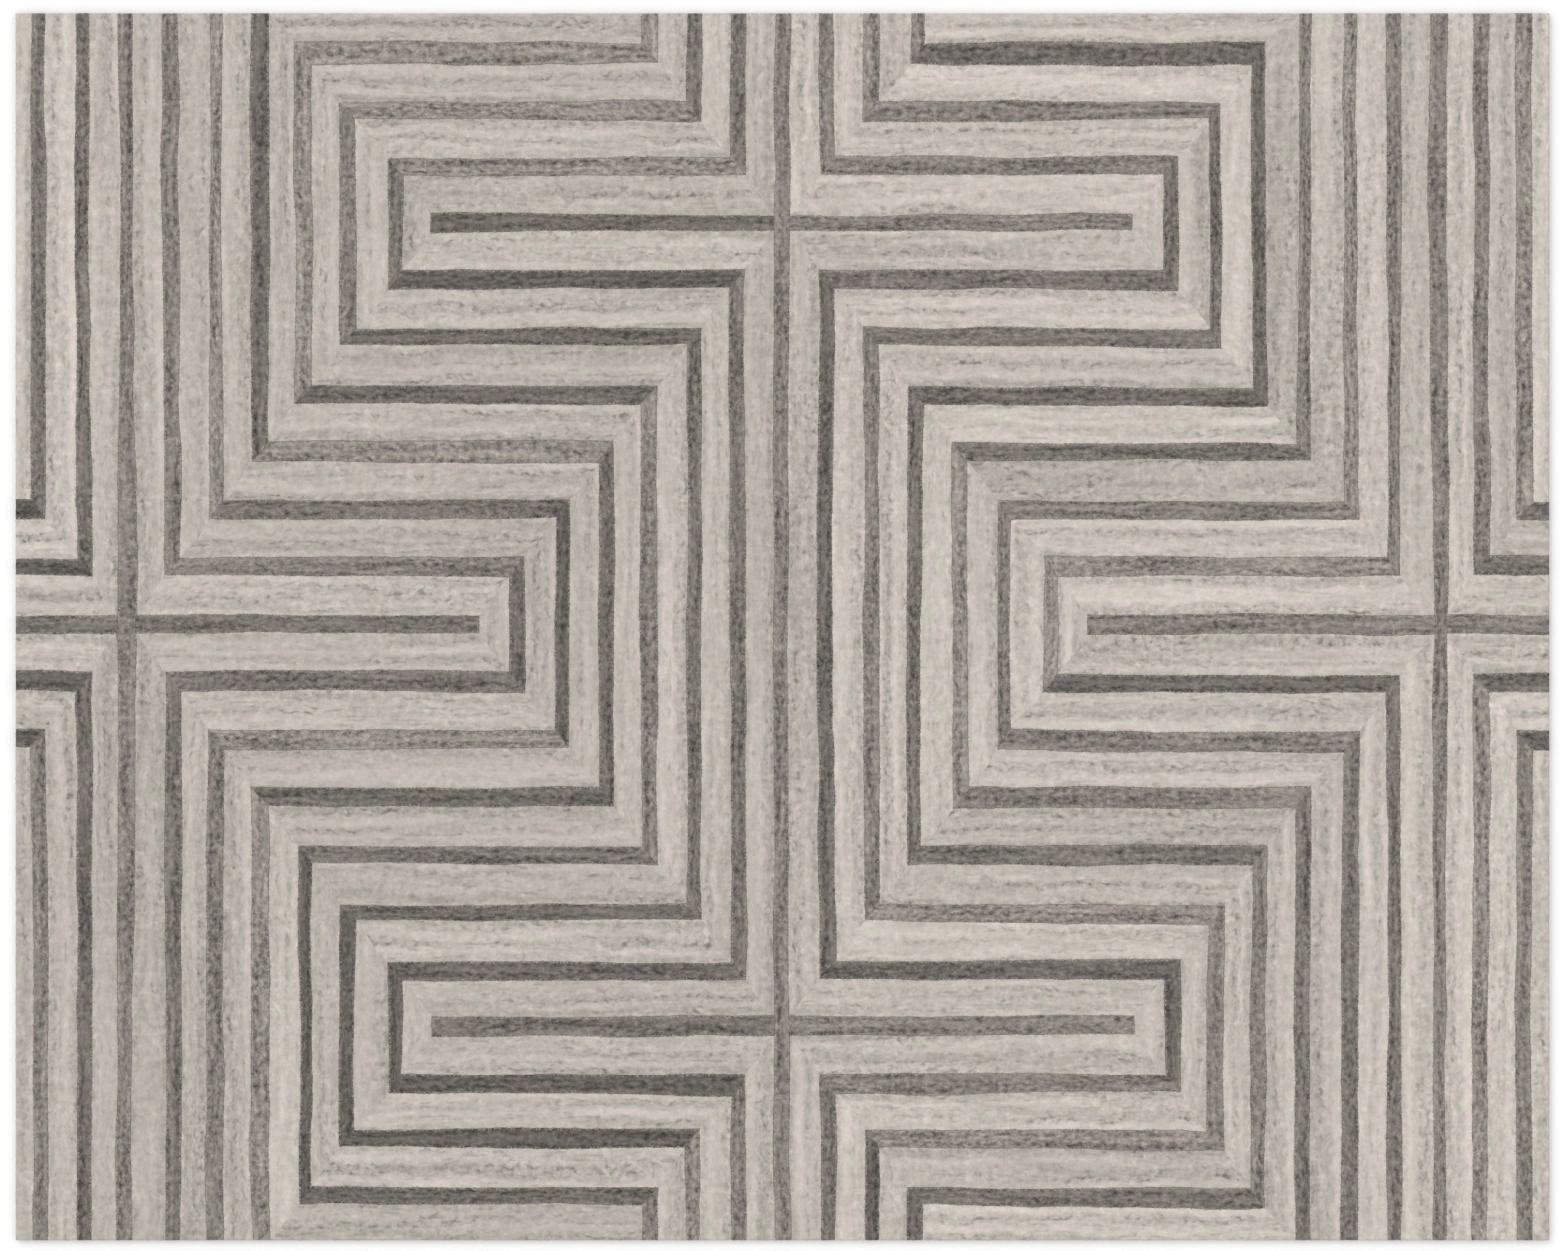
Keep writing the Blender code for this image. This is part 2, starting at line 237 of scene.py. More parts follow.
def make_object(name: str, shell: Shell) -> bpy.types.Object:
    """Puts a surface into a mesh object at the origin, smooth shaded, with its named values.

    Args:
        name: The new object's name.
        shell: The surface.

    Returns:
        The object, linked to the scene.
    """
    mesh = bpy.data.meshes.new(name)
    corners = np.concatenate([shell.quads.ravel(), shell.triangles.ravel()]).astype(np.int32)
    quad_starts = np.arange(len(shell.quads)) * 4
    triangle_starts = shell.quads.size + np.arange(len(shell.triangles)) * 3
    starts = np.concatenate([quad_starts, triangle_starts]).astype(np.int32)
    mesh.vertices.add(len(shell.points))
    mesh.vertices.foreach_set("co", shell.points.astype(np.float32).ravel())
    mesh.loops.add(len(corners))
    mesh.loops.foreach_set("vertex_index", corners)
    mesh.polygons.add(len(starts))
    mesh.polygons.foreach_set("loop_start", starts)
    mesh.update(calc_edges=True)
    mesh.shade_smooth()
    for key, values in shell.corner_values.items():
        if values.shape[1] == 2:
            mesh.uv_layers.new(name=key).data.foreach_set("uv", values.astype(np.float32).ravel())
        else:
            attribute = mesh.attributes.new(key, "FLOAT_COLOR", "CORNER")
            attribute.data.foreach_set("color", values.astype(np.float32).ravel())
    for key, values in shell.point_values.items():
        mesh.attributes.new(key, "FLOAT", "POINT").data.foreach_set("value", values.astype(np.float32))
    obj = bpy.data.objects.new(name, mesh)
    bpy.context.scene.collection.objects.link(obj)
    return obj


# ---------------------------------------------------------------- outlines from the frame


def foot_corners(node: str) -> np.ndarray:
    """The corners of a field's flat foot, counter-clockwise from above.

    The foot is the faces at the node's lowest level. Its outline is the edges that only one of them has,
    walked round, and a corner is where the walk turns.

    Args:
        node: The CAD node's name.

    Returns:
        The corners in plan, one row each.
    """
    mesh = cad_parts[node].data
    points = np.empty(len(mesh.vertices) * 3)
    mesh.vertices.foreach_get("co", points)
    points = points.reshape(-1, 3)
    mesh.calc_loop_triangles()
    faces = np.empty(len(mesh.loop_triangles) * 3, np.int32)
    mesh.loop_triangles.foreach_get("vertices", faces)
    faces = faces.reshape(-1, 3)
    steps_per_metre, straight = 1e5, 1e-8
    low = points[:, 2].min() + 1 / steps_per_metre
    foot = faces[(points[faces][:, :, 2] < low).all(axis=1)]
    places, number = np.unique(np.round(points[:, :2] * steps_per_metre), axis=0, return_inverse=True)
    number = number.reshape(-1)[foot]
    sides = np.concatenate([number[:, [0, 1]], number[:, [1, 2]], number[:, [2, 0]]])
    pairs = set(map(tuple, sides.tolist()))
    following = {b: a for a, b in pairs if (b, a) not in pairs}
    walk = [min(following)]
    while following[walk[-1]] != walk[0]:
        walk.append(following[walk[-1]])
    loop = places[walk] / steps_per_metre
    before, after = loop - np.roll(loop, 1, axis=0), np.roll(loop, -1, axis=0) - loop
    turn = before[:, 0] * after[:, 1] - before[:, 1] * after[:, 0]
    return loop[np.abs(turn) > straight]


def two_sides(corners: np.ndarray) -> tuple[np.ndarray, np.ndarray]:
    """Splits a strip's outline into its right-hand side and its left-hand side, both from the strip's start.

    The start is where corners taken in pairs, one from each side, lie closest together.

    Args:
        corners: The outline, counter-clockwise.

    Returns:
        The right-hand and the left-hand side, with as many corners each.
    """
    count = len(corners)
    turned = [np.roll(corners, -first, axis=0) for first in range(count)]
    spans = [np.linalg.norm(t[: count // 2] - t[count // 2 :][::-1], axis=1).sum() for t in turned]
    best = turned[int(np.argmin(spans))]
    return best[: count // 2], best[count // 2 :][::-1]


def tree_strips(corners: np.ndarray) -> list[tuple[np.ndarray, np.ndarray]]:
    """Splits a tree's outline into its upright and the bars on either side of it, front bars first.

    The upright lies between the two middle x values, and the bars between the inner y values, in pairs.

    Args:
        corners: The outline of the tree.

    Returns:
        Two sides for each strip, the upright first.
    """
    xs, ys = (np.unique(np.round(corners[:, axis], 5)) for axis in (0, 1))
    strips = [
        (
            np.array([(xs[2], ys[0]), (xs[2], ys[-1])]),
            np.array([(xs[1], ys[0]), (xs[1], ys[-1])]),
        )
    ]
    for bottom, top in zip(ys[1:-1:2], ys[2:-1:2]):
        for start, end in ((xs[0], xs[1]), (xs[2], xs[3])):
            strips.append((np.array([(start, bottom), (end, bottom)]), np.array([(start, top), (end, top)])))
    return strips


# ---------------------------------------------------------------- node recipes


class Recipe:
    """A material's node tree, with short ways to add and join nodes."""

    usual_noise: tuple[float, float] = (0.3, 0.7)

    def __init__(self, name: str) -> None:
        """Starts a material that holds a Principled shader only.

        Args:
            name: The material's name.
        """
        self.material = bpy.data.materials.new(name)
        self.material.use_nodes = True
        self.tree = self.material.node_tree
        self.shader = self.tree.nodes["Principled BSDF"]

    def node(self, kind: str, inputs: dict[str | int, object], **settings: object) -> bpy.types.Node:
        """Adds a node.

        Args:
            kind: The node's type name, without ShaderNode.
            inputs: What each input socket takes, a socket to join or a value to hold.
            settings: The node's own settings.

        Returns:
            The node.
        """
        made = self.tree.nodes.new("ShaderNode" + kind)
        for key, value in settings.items():
            setattr(made, key, value)
        for key, value in inputs.items():
            if isinstance(value, Socket):
                self.tree.links.new(value, made.inputs[key])
            else:
                made.inputs[key].default_value = value
        return made

    def place(self) -> Socket:
        """The point on the piece, in metres."""
        return self.node("TexCoord", {}).outputs["Object"]

    def run_place(self) -> Socket:
        """The point along and across the strip of pile, in metres."""
        return self.node("UVMap", {}, uv_map="pile").outputs["UV"]

    def named(self, name: str, output: str) -> Socket:
        """A value that the mesh holds."""
        return self.node("Attribute", {}, attribute_name=name).outputs[output]

    def split(self, vector: Socket) -> list[Socket]:
        """The three parts of a vector."""
        return list(self.node("SeparateXYZ", {0: vector}).outputs)

    def stretched(self, vector: Socket, scale: tuple[float, float, float]) -> Socket:
        """A vector scaled by axis."""
        return self.node("Mapping", {"Vector": vector, "Scale": scale}).outputs[0]

    def noise(self, vector: Socket, scale: tuple[float, float, float], detail: float = 2.0) -> Socket:
        """Cloudy noise around a half, with that many cells in a metre by axis."""
        inputs = {"Vector": self.stretched(vector, scale), "Scale": 1.0, "Detail": detail}
        return self.node("TexNoise", inputs).outputs[0]

    def ranged(self, value: Socket, low: float, high: float, to_low: float, to_high: float) -> Socket:
        """A value carried from one range to another by a straight line, and held at its ends."""
        inputs = {"Value": value, "From Min": low, "From Max": high, "To Min": to_low, "To Max": to_high}
        return self.node("MapRange", inputs).outputs["Result"]

    def around(self, value: Socket, share: float) -> Socket:
        """Noise turned into a factor that lightens and darkens by a share."""
        return self.ranged(value, *self.usual_noise, 1 - share, 1 + share)

    def swung(self, value: Socket, reach: float) -> Socket:
        """Noise turned into a number that swings by a reach to either side of 0."""
        return self.ranged(value, *self.usual_noise, -reach, reach)

    def cut(self, share: Socket, depth: float) -> Socket:
        """A share from 0 to 1 turned into a factor that darkens by up to a depth."""
        return self.ranged(share, 0, 1, 1, 1 - depth)

    def worked(self, operation: str, first: object, second: object = 0.0) -> Socket:
        """The result of one arithmetic step."""
        return self.node("Math", {0: first, 1: second}, operation=operation).outputs[0]

    def product(self, *factors: Socket) -> Socket:
        """Multiplies factors in their order.

        Args:
            factors: At least one.

        Returns:
            The product.
        """
        result = factors[0]
        for factor in factors[1:]:
            result = self.worked("MULTIPLY", result, factor)
        return result

    def blended(self, first: object, second: object, share: Socket) -> Socket:
        """A colour between two others.

        Args:
            first: The colour at a share of 0.
            second: The colour at a share of 1.
            share: How far it lies from the first to the second.

        Returns:
            The blended colour.
        """
        made = self.node("Mix", {"Factor": share}, data_type="RGBA", clamp_factor=True)
        for socket, value in ((made.inputs[6], first), (made.inputs[7], second)):
            if isinstance(value, Socket):
                self.tree.links.new(value, socket)
            else:
                socket.default_value = (*value, 1.0)
        return made.outputs[2]

    def scaled(self, colour: Socket, factor: Socket) -> Socket:
        """A colour made darker or lighter by a factor."""
        return self.node("VectorMath", {0: colour, "Scale": factor}, operation="SCALE").outputs[0]

    def weave(self, vector: Socket, pitch: float) -> Socket:
        """Plain weave: the sine along x times the sine along y, two threads to a period.

        Args:
            vector: The point, in metres.
            pitch: The distance from one thread to the next.

        Returns:
            From 0, a gap, to 1, a thread on top.
        """
        x, y, _ = self.split(vector)
        turns = math.tau / (2 * pitch)
        along = self.worked("SINE", self.worked("MULTIPLY", x, turns))
        across = self.worked("SINE", self.worked("MULTIPLY", y, turns))
        return self.ranged(self.product(along, across), -1, 1, 0, 1)

    def finish(
        self,
        colour: Socket,
        height: Socket,
        depth: float,
        roughness: float,
        sheen: float = 0.0,
    ) -> bpy.types.Material:
        """Joins the colour and the fine relief to the shader.

        Args:
            colour: The surface's colour.
            height: The fine relief, from 0 to 1.
            depth: How deep that relief is, in metres.
            roughness: The shader's roughness.
            sheen: How much the fibres catch light at a low angle.

        Returns:
            The finished material.
        """
        bump = self.node("Bump", {"Height": height, "Strength": 1.0, "Distance": depth})
        self.tree.links.new(colour, self.shader.inputs["Base Color"])
        self.tree.links.new(bump.outputs[0], self.shader.inputs["Normal"])
        self.shader.inputs["Roughness"].default_value = roughness
        self.shader.inputs["Specular IOR Level"].default_value = 0.15
        self.shader.inputs["Sheen Weight"].default_value = sheen
        self.shader.inputs["Sheen Roughness"].default_value = 0.6
        return self.material


# ---------------------------------------------------------------- finishes


class PileNoise(Enum):
    """The wool's noises: cells in a metre along, across and up, and how much finer detail each holds."""

    WANDER = ((11, 6, 1), 2.0)
    STREAKS = ((7, 60, 1), 3.0)
    MOTTLE = ((50, 66, 1), 3.0)
    RIBS = ((120, 22, 1), 1.0)
    FLECKS = ((330, 330, 120), 1.0)
    GRAIN = ((640, 640, 90), 2.0)
    CLOUD = ((22, 60, 1), 3.0)
    # Clusters and blots place painted shade: spots along the rows, and the ragged edges of the partings.
    SHADE_CLUSTERS = ((7, 40, 1), 1.0)
    SHADE_BLOTS = ((70, 102, 1), 1.0)
    FUZZ = ((290, 290, 60), 2.0)


@dataclass(frozen=True)
class WoolFinish:
    """Cut wool pile. Shares say how far each effect lightens or darkens the yarn's own colour.

    Attributes:
        name: The material's name.
        cool: The yarn's colour where it is coolest.
        warm: Its colour where it is warmest.
        neighbour: Colour of the other yarn's fibres, which stray over the edge.
        straying: How readily they do, as a rise of the fibre noise at the edge.
        pass_cells: Cells in a metre, along and across, of the tufting tool's passes.
        heather_cells: The same for the mix of dark and light fibres.
        tool_pass: Share for the passes, each of which keeps its tone for most of a run.
        streak: Share for the shorter streaks.
        mottle: Share for the clouds a few centimetres long.
        heather: Share for the mix of dark and light fibres.
        fleck: Share for single tufts.
        grain: Share for single fibres.
        parting: Share of painted shade in the gaps between rows.
        spot_shade: Share of painted shade in spots that chain along the rows, mostly in the darker passes.
        rib: Share for the ribs across the run, where the tool steps.
        rim: Share of painted shade on the tufts beside an edge; below 0 it paints them paler instead.
        rim_shade_break: How much the clouds break up that painted rim shade.
        tint_break: How much the clouds shift between cool and warm.
        waviness: How far rows wander to either side.
        sunk: How much less fibre noise there is away from an edge than at it.
        relief_share: Share of the fine relief that tufts have, and that fibres have.
        pile_depth: How deep the fine relief is.
    """

    name: str
    cool: tuple[float, float, float]
    warm: tuple[float, float, float]
    neighbour: tuple[float, float, float]
    straying: float
    pass_cells: tuple[float, float]
    heather_cells: tuple[float, float]
    tool_pass: float
    streak: float
    mottle: float
    heather: float
    fleck: float
    grain: float
    parting: float
    spot_shade: float
    rib: float
    rim: float
    rim_shade_break: float
    tint_break: float
    waviness: float = 0.005
    sunk: float = 0.34
    relief_share: float = 0.6
    pile_depth: float = 0.0012

    def material(self) -> bpy.types.Material:
        """Lays the effects over the yarn's colour, and lets the other yarn's fibres stray over its edges.

        Returns:
            The material.
        """
        nodes = WoolNodes(self)
        cloud = nodes.read(PileNoise.CLOUD, nodes.run)
        warmth = nodes.ranged(cloud, 0.35, 0.65, -self.tint_break, self.tint_break)
        warmth = nodes.worked("ADD", warmth, nodes.tint)
        colour = nodes.scaled(nodes.blended(self.cool, self.warm, warmth), nodes.brightness())
        colour = nodes.blended(colour, self.neighbour, nodes.strayed_fibres())
        fine = [nodes.worked("MULTIPLY", noise, self.relief_share) for noise in (nodes.grain, nodes.flecks)]
        return nodes.finish(colour, nodes.worked("ADD", *fine), self.pile_depth, roughness=0.95, sheen=0.12)


class WoolNodes(Recipe):
    """The node tree of cut pile: each of its effects, as a factor on the yarn's colour or as a share."""

    def __init__(self, wool: WoolFinish) -> None:
        """Reads the values that the pile holds, and the noises that more than one effect needs.

        Args:
            wool: How strong each effect is.
        """
        super().__init__(wool.name)
        self.wool = wool
        self.run, self.spot = self.run_place(), self.place()
        yarn = self.named("yarn", "Color")
        self.shade, self.tint, self.level = self.node("SeparateColor", {0: yarn}).outputs
        wander = self.swung(self.read(PileNoise.WANDER, self.run), wool.waviness)
        shift = self.node("CombineXYZ", {1: wander}).outputs[0]
        self.rows = self.node("VectorMath", {0: self.run, 1: shift}, operation="ADD").outputs[0]
        self.passes = self.noise(self.rows, (*wool.pass_cells, 1), 1.0)
        self.heather = self.noise(self.run, (*wool.heather_cells, 1), 2.0)
        self.mottle = self.read(PileNoise.MOTTLE, self.rows)
        self.shade_blots = self.read(PileNoise.SHADE_BLOTS, self.rows)
        self.flecks = self.read(PileNoise.FLECKS, self.spot)
        self.grain = self.read(PileNoise.GRAIN, self.spot)

    def read(self, noise: PileNoise, place: Socket) -> Socket:
        """One of the wool's noises, at a place."""
        return self.noise(place, *noise.value)

    def brightness(self) -> Socket:
        """Every effect that lightens or darkens the yarn, multiplied.

        Returns:
            A factor for the yarn's colour.
        """
        wool = self.wool
        return self.product(
            self.shade,
            self.speckle(),
            self.around(self.passes, wool.tool_pass),
            self.around(self.read(PileNoise.STREAKS, self.rows), wool.streak),
            # Painted shade in the gaps between rows.
            self.cut(self.gap(), wool.parting),
            # Painted shade in spots along the rows.
            self.cut(self.shaded_spots(), wool.spot_shade),
            # Painted shade on the tufts beside an edge; a rim share below 0, as in the ivory, paints them
            # paler.
            self.cut(self.edge(), wool.rim),
        )

    def speckle(self) -> Socket:
        """The mix of dark and light fibres, stronger in the darker passes and weaker in the paler ones.

        Returns:
            A factor around 1.
        """
        wool = self.wool
        mixed = self.product(
            self.around(self.mottle, wool.mottle),
            self.around(self.read(PileNoise.RIBS, self.run), wool.rib),
            self.around(self.heather, wool.heather),
            self.around(self.flecks, wool.fleck),
            self.around(self.grain, wool.grain),
        )
        strength = self.ranged(self.passes, 0.38, 0.62, 1.35, 0.65)
        return self.worked("ADD", self.product(self.worked("SUBTRACT", mixed, 1.0), strength), 1.0)

    def gap(self) -> Socket:
        """How open the gap between two rows is, from 0 to 1, with a ragged edge: the mask of the painted
        shade there.
        """
        ragged = self.worked("ADD", self.named("parting", "Fac"), self.swung(self.shade_blots, 0.4))
        return self.ranged(ragged, 0.25, 0.95, 0, 1)

    def shaded_spots(self) -> Socket:
        """Spots of painted shade, which come in clusters along the rows, mostly in the darker passes, and a
        little less in upright runs.

        Returns:
            A share from 0 to 1.
        """
        spots = self.ranged(self.shade_blots, 0.48, 0.74, 0, 1)
        clusters = self.ranged(self.read(PileNoise.SHADE_CLUSTERS, self.rows), 0.44, 0.60, 0, 1)
        in_darker_pass = self.ranged(self.passes, 0.40, 0.60, 1, 0.15)
        return self.product(spots, clusters, in_darker_pass, self.ranged(self.level, 0, 1, 0.85, 1))

    def edge(self) -> Socket:
        """The mask of the painted shade beside an edge, from 0 to 1, broken up by the clouds."""
        broken = self.ranged(self.mottle, 0.35, 0.65, -self.wool.rim_shade_break, self.wool.rim_shade_break)
        return self.ranged(self.worked("ADD", self.named("rim", "Fac"), broken), 0.2, 1.0, 0, 1)

    def strayed_fibres(self) -> Socket:
        """Where the other yarn's fibres lie: fine noise that is raised at the rim and sunk away from it.

        Returns:
            A share from 0 to 0.9.
        """
        straying, sunk = self.wool.straying, self.wool.sunk
        rise = self.ranged(self.named("rim", "Fac"), 0, 1, straying - sunk, straying)
        fuzz = self.worked("ADD", self.read(PileNoise.FUZZ, self.spot), rise)
        return self.ranged(fuzz, 0.40, 0.62, 0, 0.9)


@dataclass(frozen=True)
class WovenFinish:
    """Plain woven cotton: canvas, tufting cloth, tape or label, told apart by thread and colour."""

    name: str
    thread_colour: tuple[float, float, float]
    # Darker than the threads: painted shade where they dip apart.
    shaded_gap_colour: tuple[float, float, float]
    thread_pitch: float
    slub: float
    thread_depth: float

    def material(self) -> bpy.types.Material:
        """Threads over and under, with painted shade where they dip apart, thick and thin places along them
        and a little soiling.

        Returns:
            The material.
        """
        recipe = Recipe(self.name)
        place = recipe.place()
        slubs = recipe.noise(place, (30, 700, 30), 2.0)
        cross_slubs = recipe.noise(place, (700, 30, 30), 2.0)
        soil = recipe.noise(place, (6, 6, 6), 4.0)
        weave = recipe.weave(place, self.thread_pitch)
        factor = recipe.product(
            recipe.around(slubs, self.slub),
            recipe.around(cross_slubs, self.slub),
            recipe.ranged(soil, 0.3, 0.7, 0.92, 1.06),
        )
        # Painted shade: the colour falls to the darker gap colour where the threads dip apart.
        colour = recipe.scaled(recipe.blended(self.shaded_gap_colour, self.thread_colour, weave), factor)
        height = recipe.product(weave, recipe.ranged(slubs, 0.3, 0.7, 0.7, 1.0))
        return recipe.finish(colour, height, self.thread_depth, 0.9, sheen=0.05)


@dataclass(frozen=True)
class LatexFinish:
    """Latex rolled on to lock the tufts: dull, slightly dappled, with the drag marks of the roller."""

    name: str
    colour: tuple[float, float, float]
    thin_colour: tuple[float, float, float]

    def material(self) -> bpy.types.Material:
        """Thick and thin places along the roller's path, and pinholes.

        Returns:
            The material.
        """
        recipe = Recipe(self.name)
        place = recipe.place()
        drag = recipe.noise(place, (4, 60, 4), 4.0)
        dapple = recipe.noise(place, (180, 180, 180), 2.0)
        colour = recipe.blended(self.thin_colour, self.colour, recipe.ranged(drag, 0.35, 0.65, 0, 1))
        colour = recipe.scaled(colour, recipe.ranged(dapple, 0.3, 0.7, 0.94, 1.05))
        return recipe.finish(colour, recipe.worked("ADD", drag, dapple), 0.0004, 0.7)


@dataclass(frozen=True)
class ThreadFinish:
    """Twisted sewing thread."""

    name: str
    colour: tuple[float, float, float]
    ply_pitch: float = 0.0011

    def material(self) -> bpy.types.Material:
        """Slanting plies: a sine along the sum of x, y and z, with painted shade in the grooves between plies
        and fibre noise over it.

        Returns:
            The material.
        """
        recipe = Recipe(self.name)
        place = recipe.place()
        x, y, z = recipe.split(place)
        slant = recipe.worked("ADD", recipe.worked("ADD", x, y), z)
        ply = recipe.worked("SINE", recipe.worked("MULTIPLY", slant, math.tau / self.ply_pitch))
        fibre = recipe.noise(place, (900, 900, 900), 2.0)
        # Painted shade: darker in the grooves between the plies.
        factor = recipe.product(recipe.ranged(ply, -1, 1, 0.8, 1.1), recipe.around(fibre, 0.1))
        dark = tuple(part * 0.7 for part in self.colour)
        colour = recipe.scaled(recipe.blended(dark, self.colour, recipe.ranged(ply, -1, 1, 0, 1)), factor)
        return recipe.finish(colour, ply, 0.0001, 0.7, sheen=0.1)


@dataclass(frozen=True)
class FloorFinish:
    """The plain pale floor under the rug."""

    name: str = "studio_floor"
    colour: tuple[float, float, float] = (0.9, 0.9, 0.9)

    def material(self) -> bpy.types.Material:
        """A matt white.

        Returns:
            The material.
        """
        recipe = Recipe(self.name)
        recipe.shader.inputs["Base Color"].default_value = (*self.colour, 1.0)
        recipe.shader.inputs["Roughness"].default_value = 0.9
        recipe.shader.inputs["Specular IOR Level"].default_value = 0.1
        return recipe.material


Finish = WovenFinish | LatexFinish | ThreadFinish

# The parting, spot and rim shares below paint shade; the ivory's rim below 0 paints its edges paler.
IVORY_WOOL = WoolFinish(
    name="ivory_wool_pile",
    cool=(0.463, 0.440, 0.382),
    warm=(0.486, 0.434, 0.404),
    neighbour=(0.250, 0.230, 0.203),
    straying=-0.01,
    pass_cells=(0.7, 36),
    heather_cells=(105, 140),
    tool_pass=0.14,
    streak=0.10,
    mottle=0.11,
    heather=0.08,
    fleck=0.04,
    grain=0.03,
    parting=0.18,
    spot_shade=0.50,
    rib=0.03,
    rim=-0.05,
    rim_shade_break=0.5,
    tint_break=0.60,
)
GREY_WOOL = WoolFinish(
    name="grey_wool_pile",
    cool=(0.175, 0.166, 0.140),
    warm=(0.189, 0.164, 0.152),
    neighbour=(0.380, 0.357, 0.319),
    straying=0.01,
    pass_cells=(4, 70),
    heather_cells=(76, 125),
    tool_pass=0.28,
    streak=0.18,
    mottle=0.26,
    heather=0.44,
    fleck=0.14,
    grain=0.08,
    parting=0.20,
    spot_shade=0.20,
    rib=0.06,
    rim=0.14,
    rim_shade_break=1.0,
    tint_break=0.6,
)
# Each cloth's second colour is the painted shade between its threads.
TUFTING_CLOTH = WovenFinish("tufting_cloth", (0.62, 0.57, 0.47), (0.36, 0.32, 0.25), 0.0012, 0.14, 0.0002)
CANVAS = WovenFinish("canvas", (0.60, 0.54, 0.42), (0.30, 0.26, 0.19), 0.0017, 0.20, 0.0003)
TAPE = WovenFinish("hem_tape", (0.66, 0.61, 0.51), (0.42, 0.38, 0.31), 0.0009, 0.08, 0.0001)
LABEL_CLOTH = WovenFinish("label_cloth", (0.80, 0.79, 0.76), (0.62, 0.61, 0.58), 0.0005, 0.04, 0.00005)
LATEX = LatexFinish("latex", (0.50, 0.46, 0.38), (0.40, 0.36, 0.29))
THREAD = ThreadFinish("sewing_thread", (0.72, 0.68, 0.58))


# ---------------------------------------------------------------- pile


class Yarn(Enum):
    """The two yarns, each with the record's slot and the distance from one row of tufts to the next."""

    IVORY = ("ivory_wool", 0.0081)
    GREY = ("grey_wool", 0.0103)

    @property
    def slot(self) -> str:
        """The record's material slot."""
        return self.value[0]

    @property
    def row_pitch(self) -> float:
        """The distance from one row of tufts to the next."""
        return self.value[1]


class Lot(Enum):
    """Grey dye lots by their letter in LOT_CHART, with how bright each is, from the darkest."""

    K = 0.64
    D = 0.79
    M = 0.95
    S = 1.17
    L = 1.42


# Lots along each grey line, run by run: from the back edge for a zigzag, from the long edge for a corner
# line, and the upright first for a tree, then its bars, front left, front right, back left, back right.
LOT_CHART = {
    "centre_tree_line": "SMSDS",
    "left_tree_line": "SMM",
    "right_tree_line": "SSS",
    "left_zigzag_line_1": "MLMKMDKKS",
    "left_zigzag_line_2": "MLSDMDKKL",
    "left_zigzag_line_3": "LLLDSMKDS",
    "left_zigzag_line_4": "DLDDL",
    "left_zigzag_line_5": "LMKLS",
    "left_zigzag_line_6": "SSDMM",
    "right_zigzag_line_1": "SSMMDDDSM",
    "right_zigzag_line_2": "LSMMSLSLK",
    "right_zigzag_line_3": "SDDDMMSMD",
    "right_zigzag_line_4": "SMLSM",
    "right_zigzag_line_5": "LSSSM",
    "right_zigzag_line_6": "SLLDM",
    "back_left_corner_line_1": "MK",
    "back_left_corner_line_2": "MK",
    "back_right_corner_line_1": "SM",
    "back_right_corner_line_2": "LM",
    "front_left_corner_line_1": "DK",
    "front_left_corner_line_2": "SK",
    "front_right_corner_line_1": "LD",
    "front_right_corner_line_2": "SD",
}

# How bright the ivory is in each part of the rug, partly the yarn's own tone and partly painted light that
# falls off across the rug, lower in the left half's bands than the right's; and how far a single run may be
# from that.
IVORY_TONE_AND_LIGHT = {
    "left": 0.955,
    "right": 1.020,
    "back_left": 1.040,
    "back_right": 1.030,
    "front_left": 0.970,
    "front_right": 1.090,
}
IVORY_SPREAD = 0.075

SEEDS_PER_STRIP = 10


class Draw(IntEnum):
    """What each of a strip's random draws is for, as a number added to the strip's seed."""

    ROW_WAVER = 1
    GAPS = 2
    PATCHES = 3
    LOOSE_ENDS = 4
    SWELLS = 5
    TUFTS = 6
    FRAY = 7
    SHOULDERS = 8
    SHADES = 9


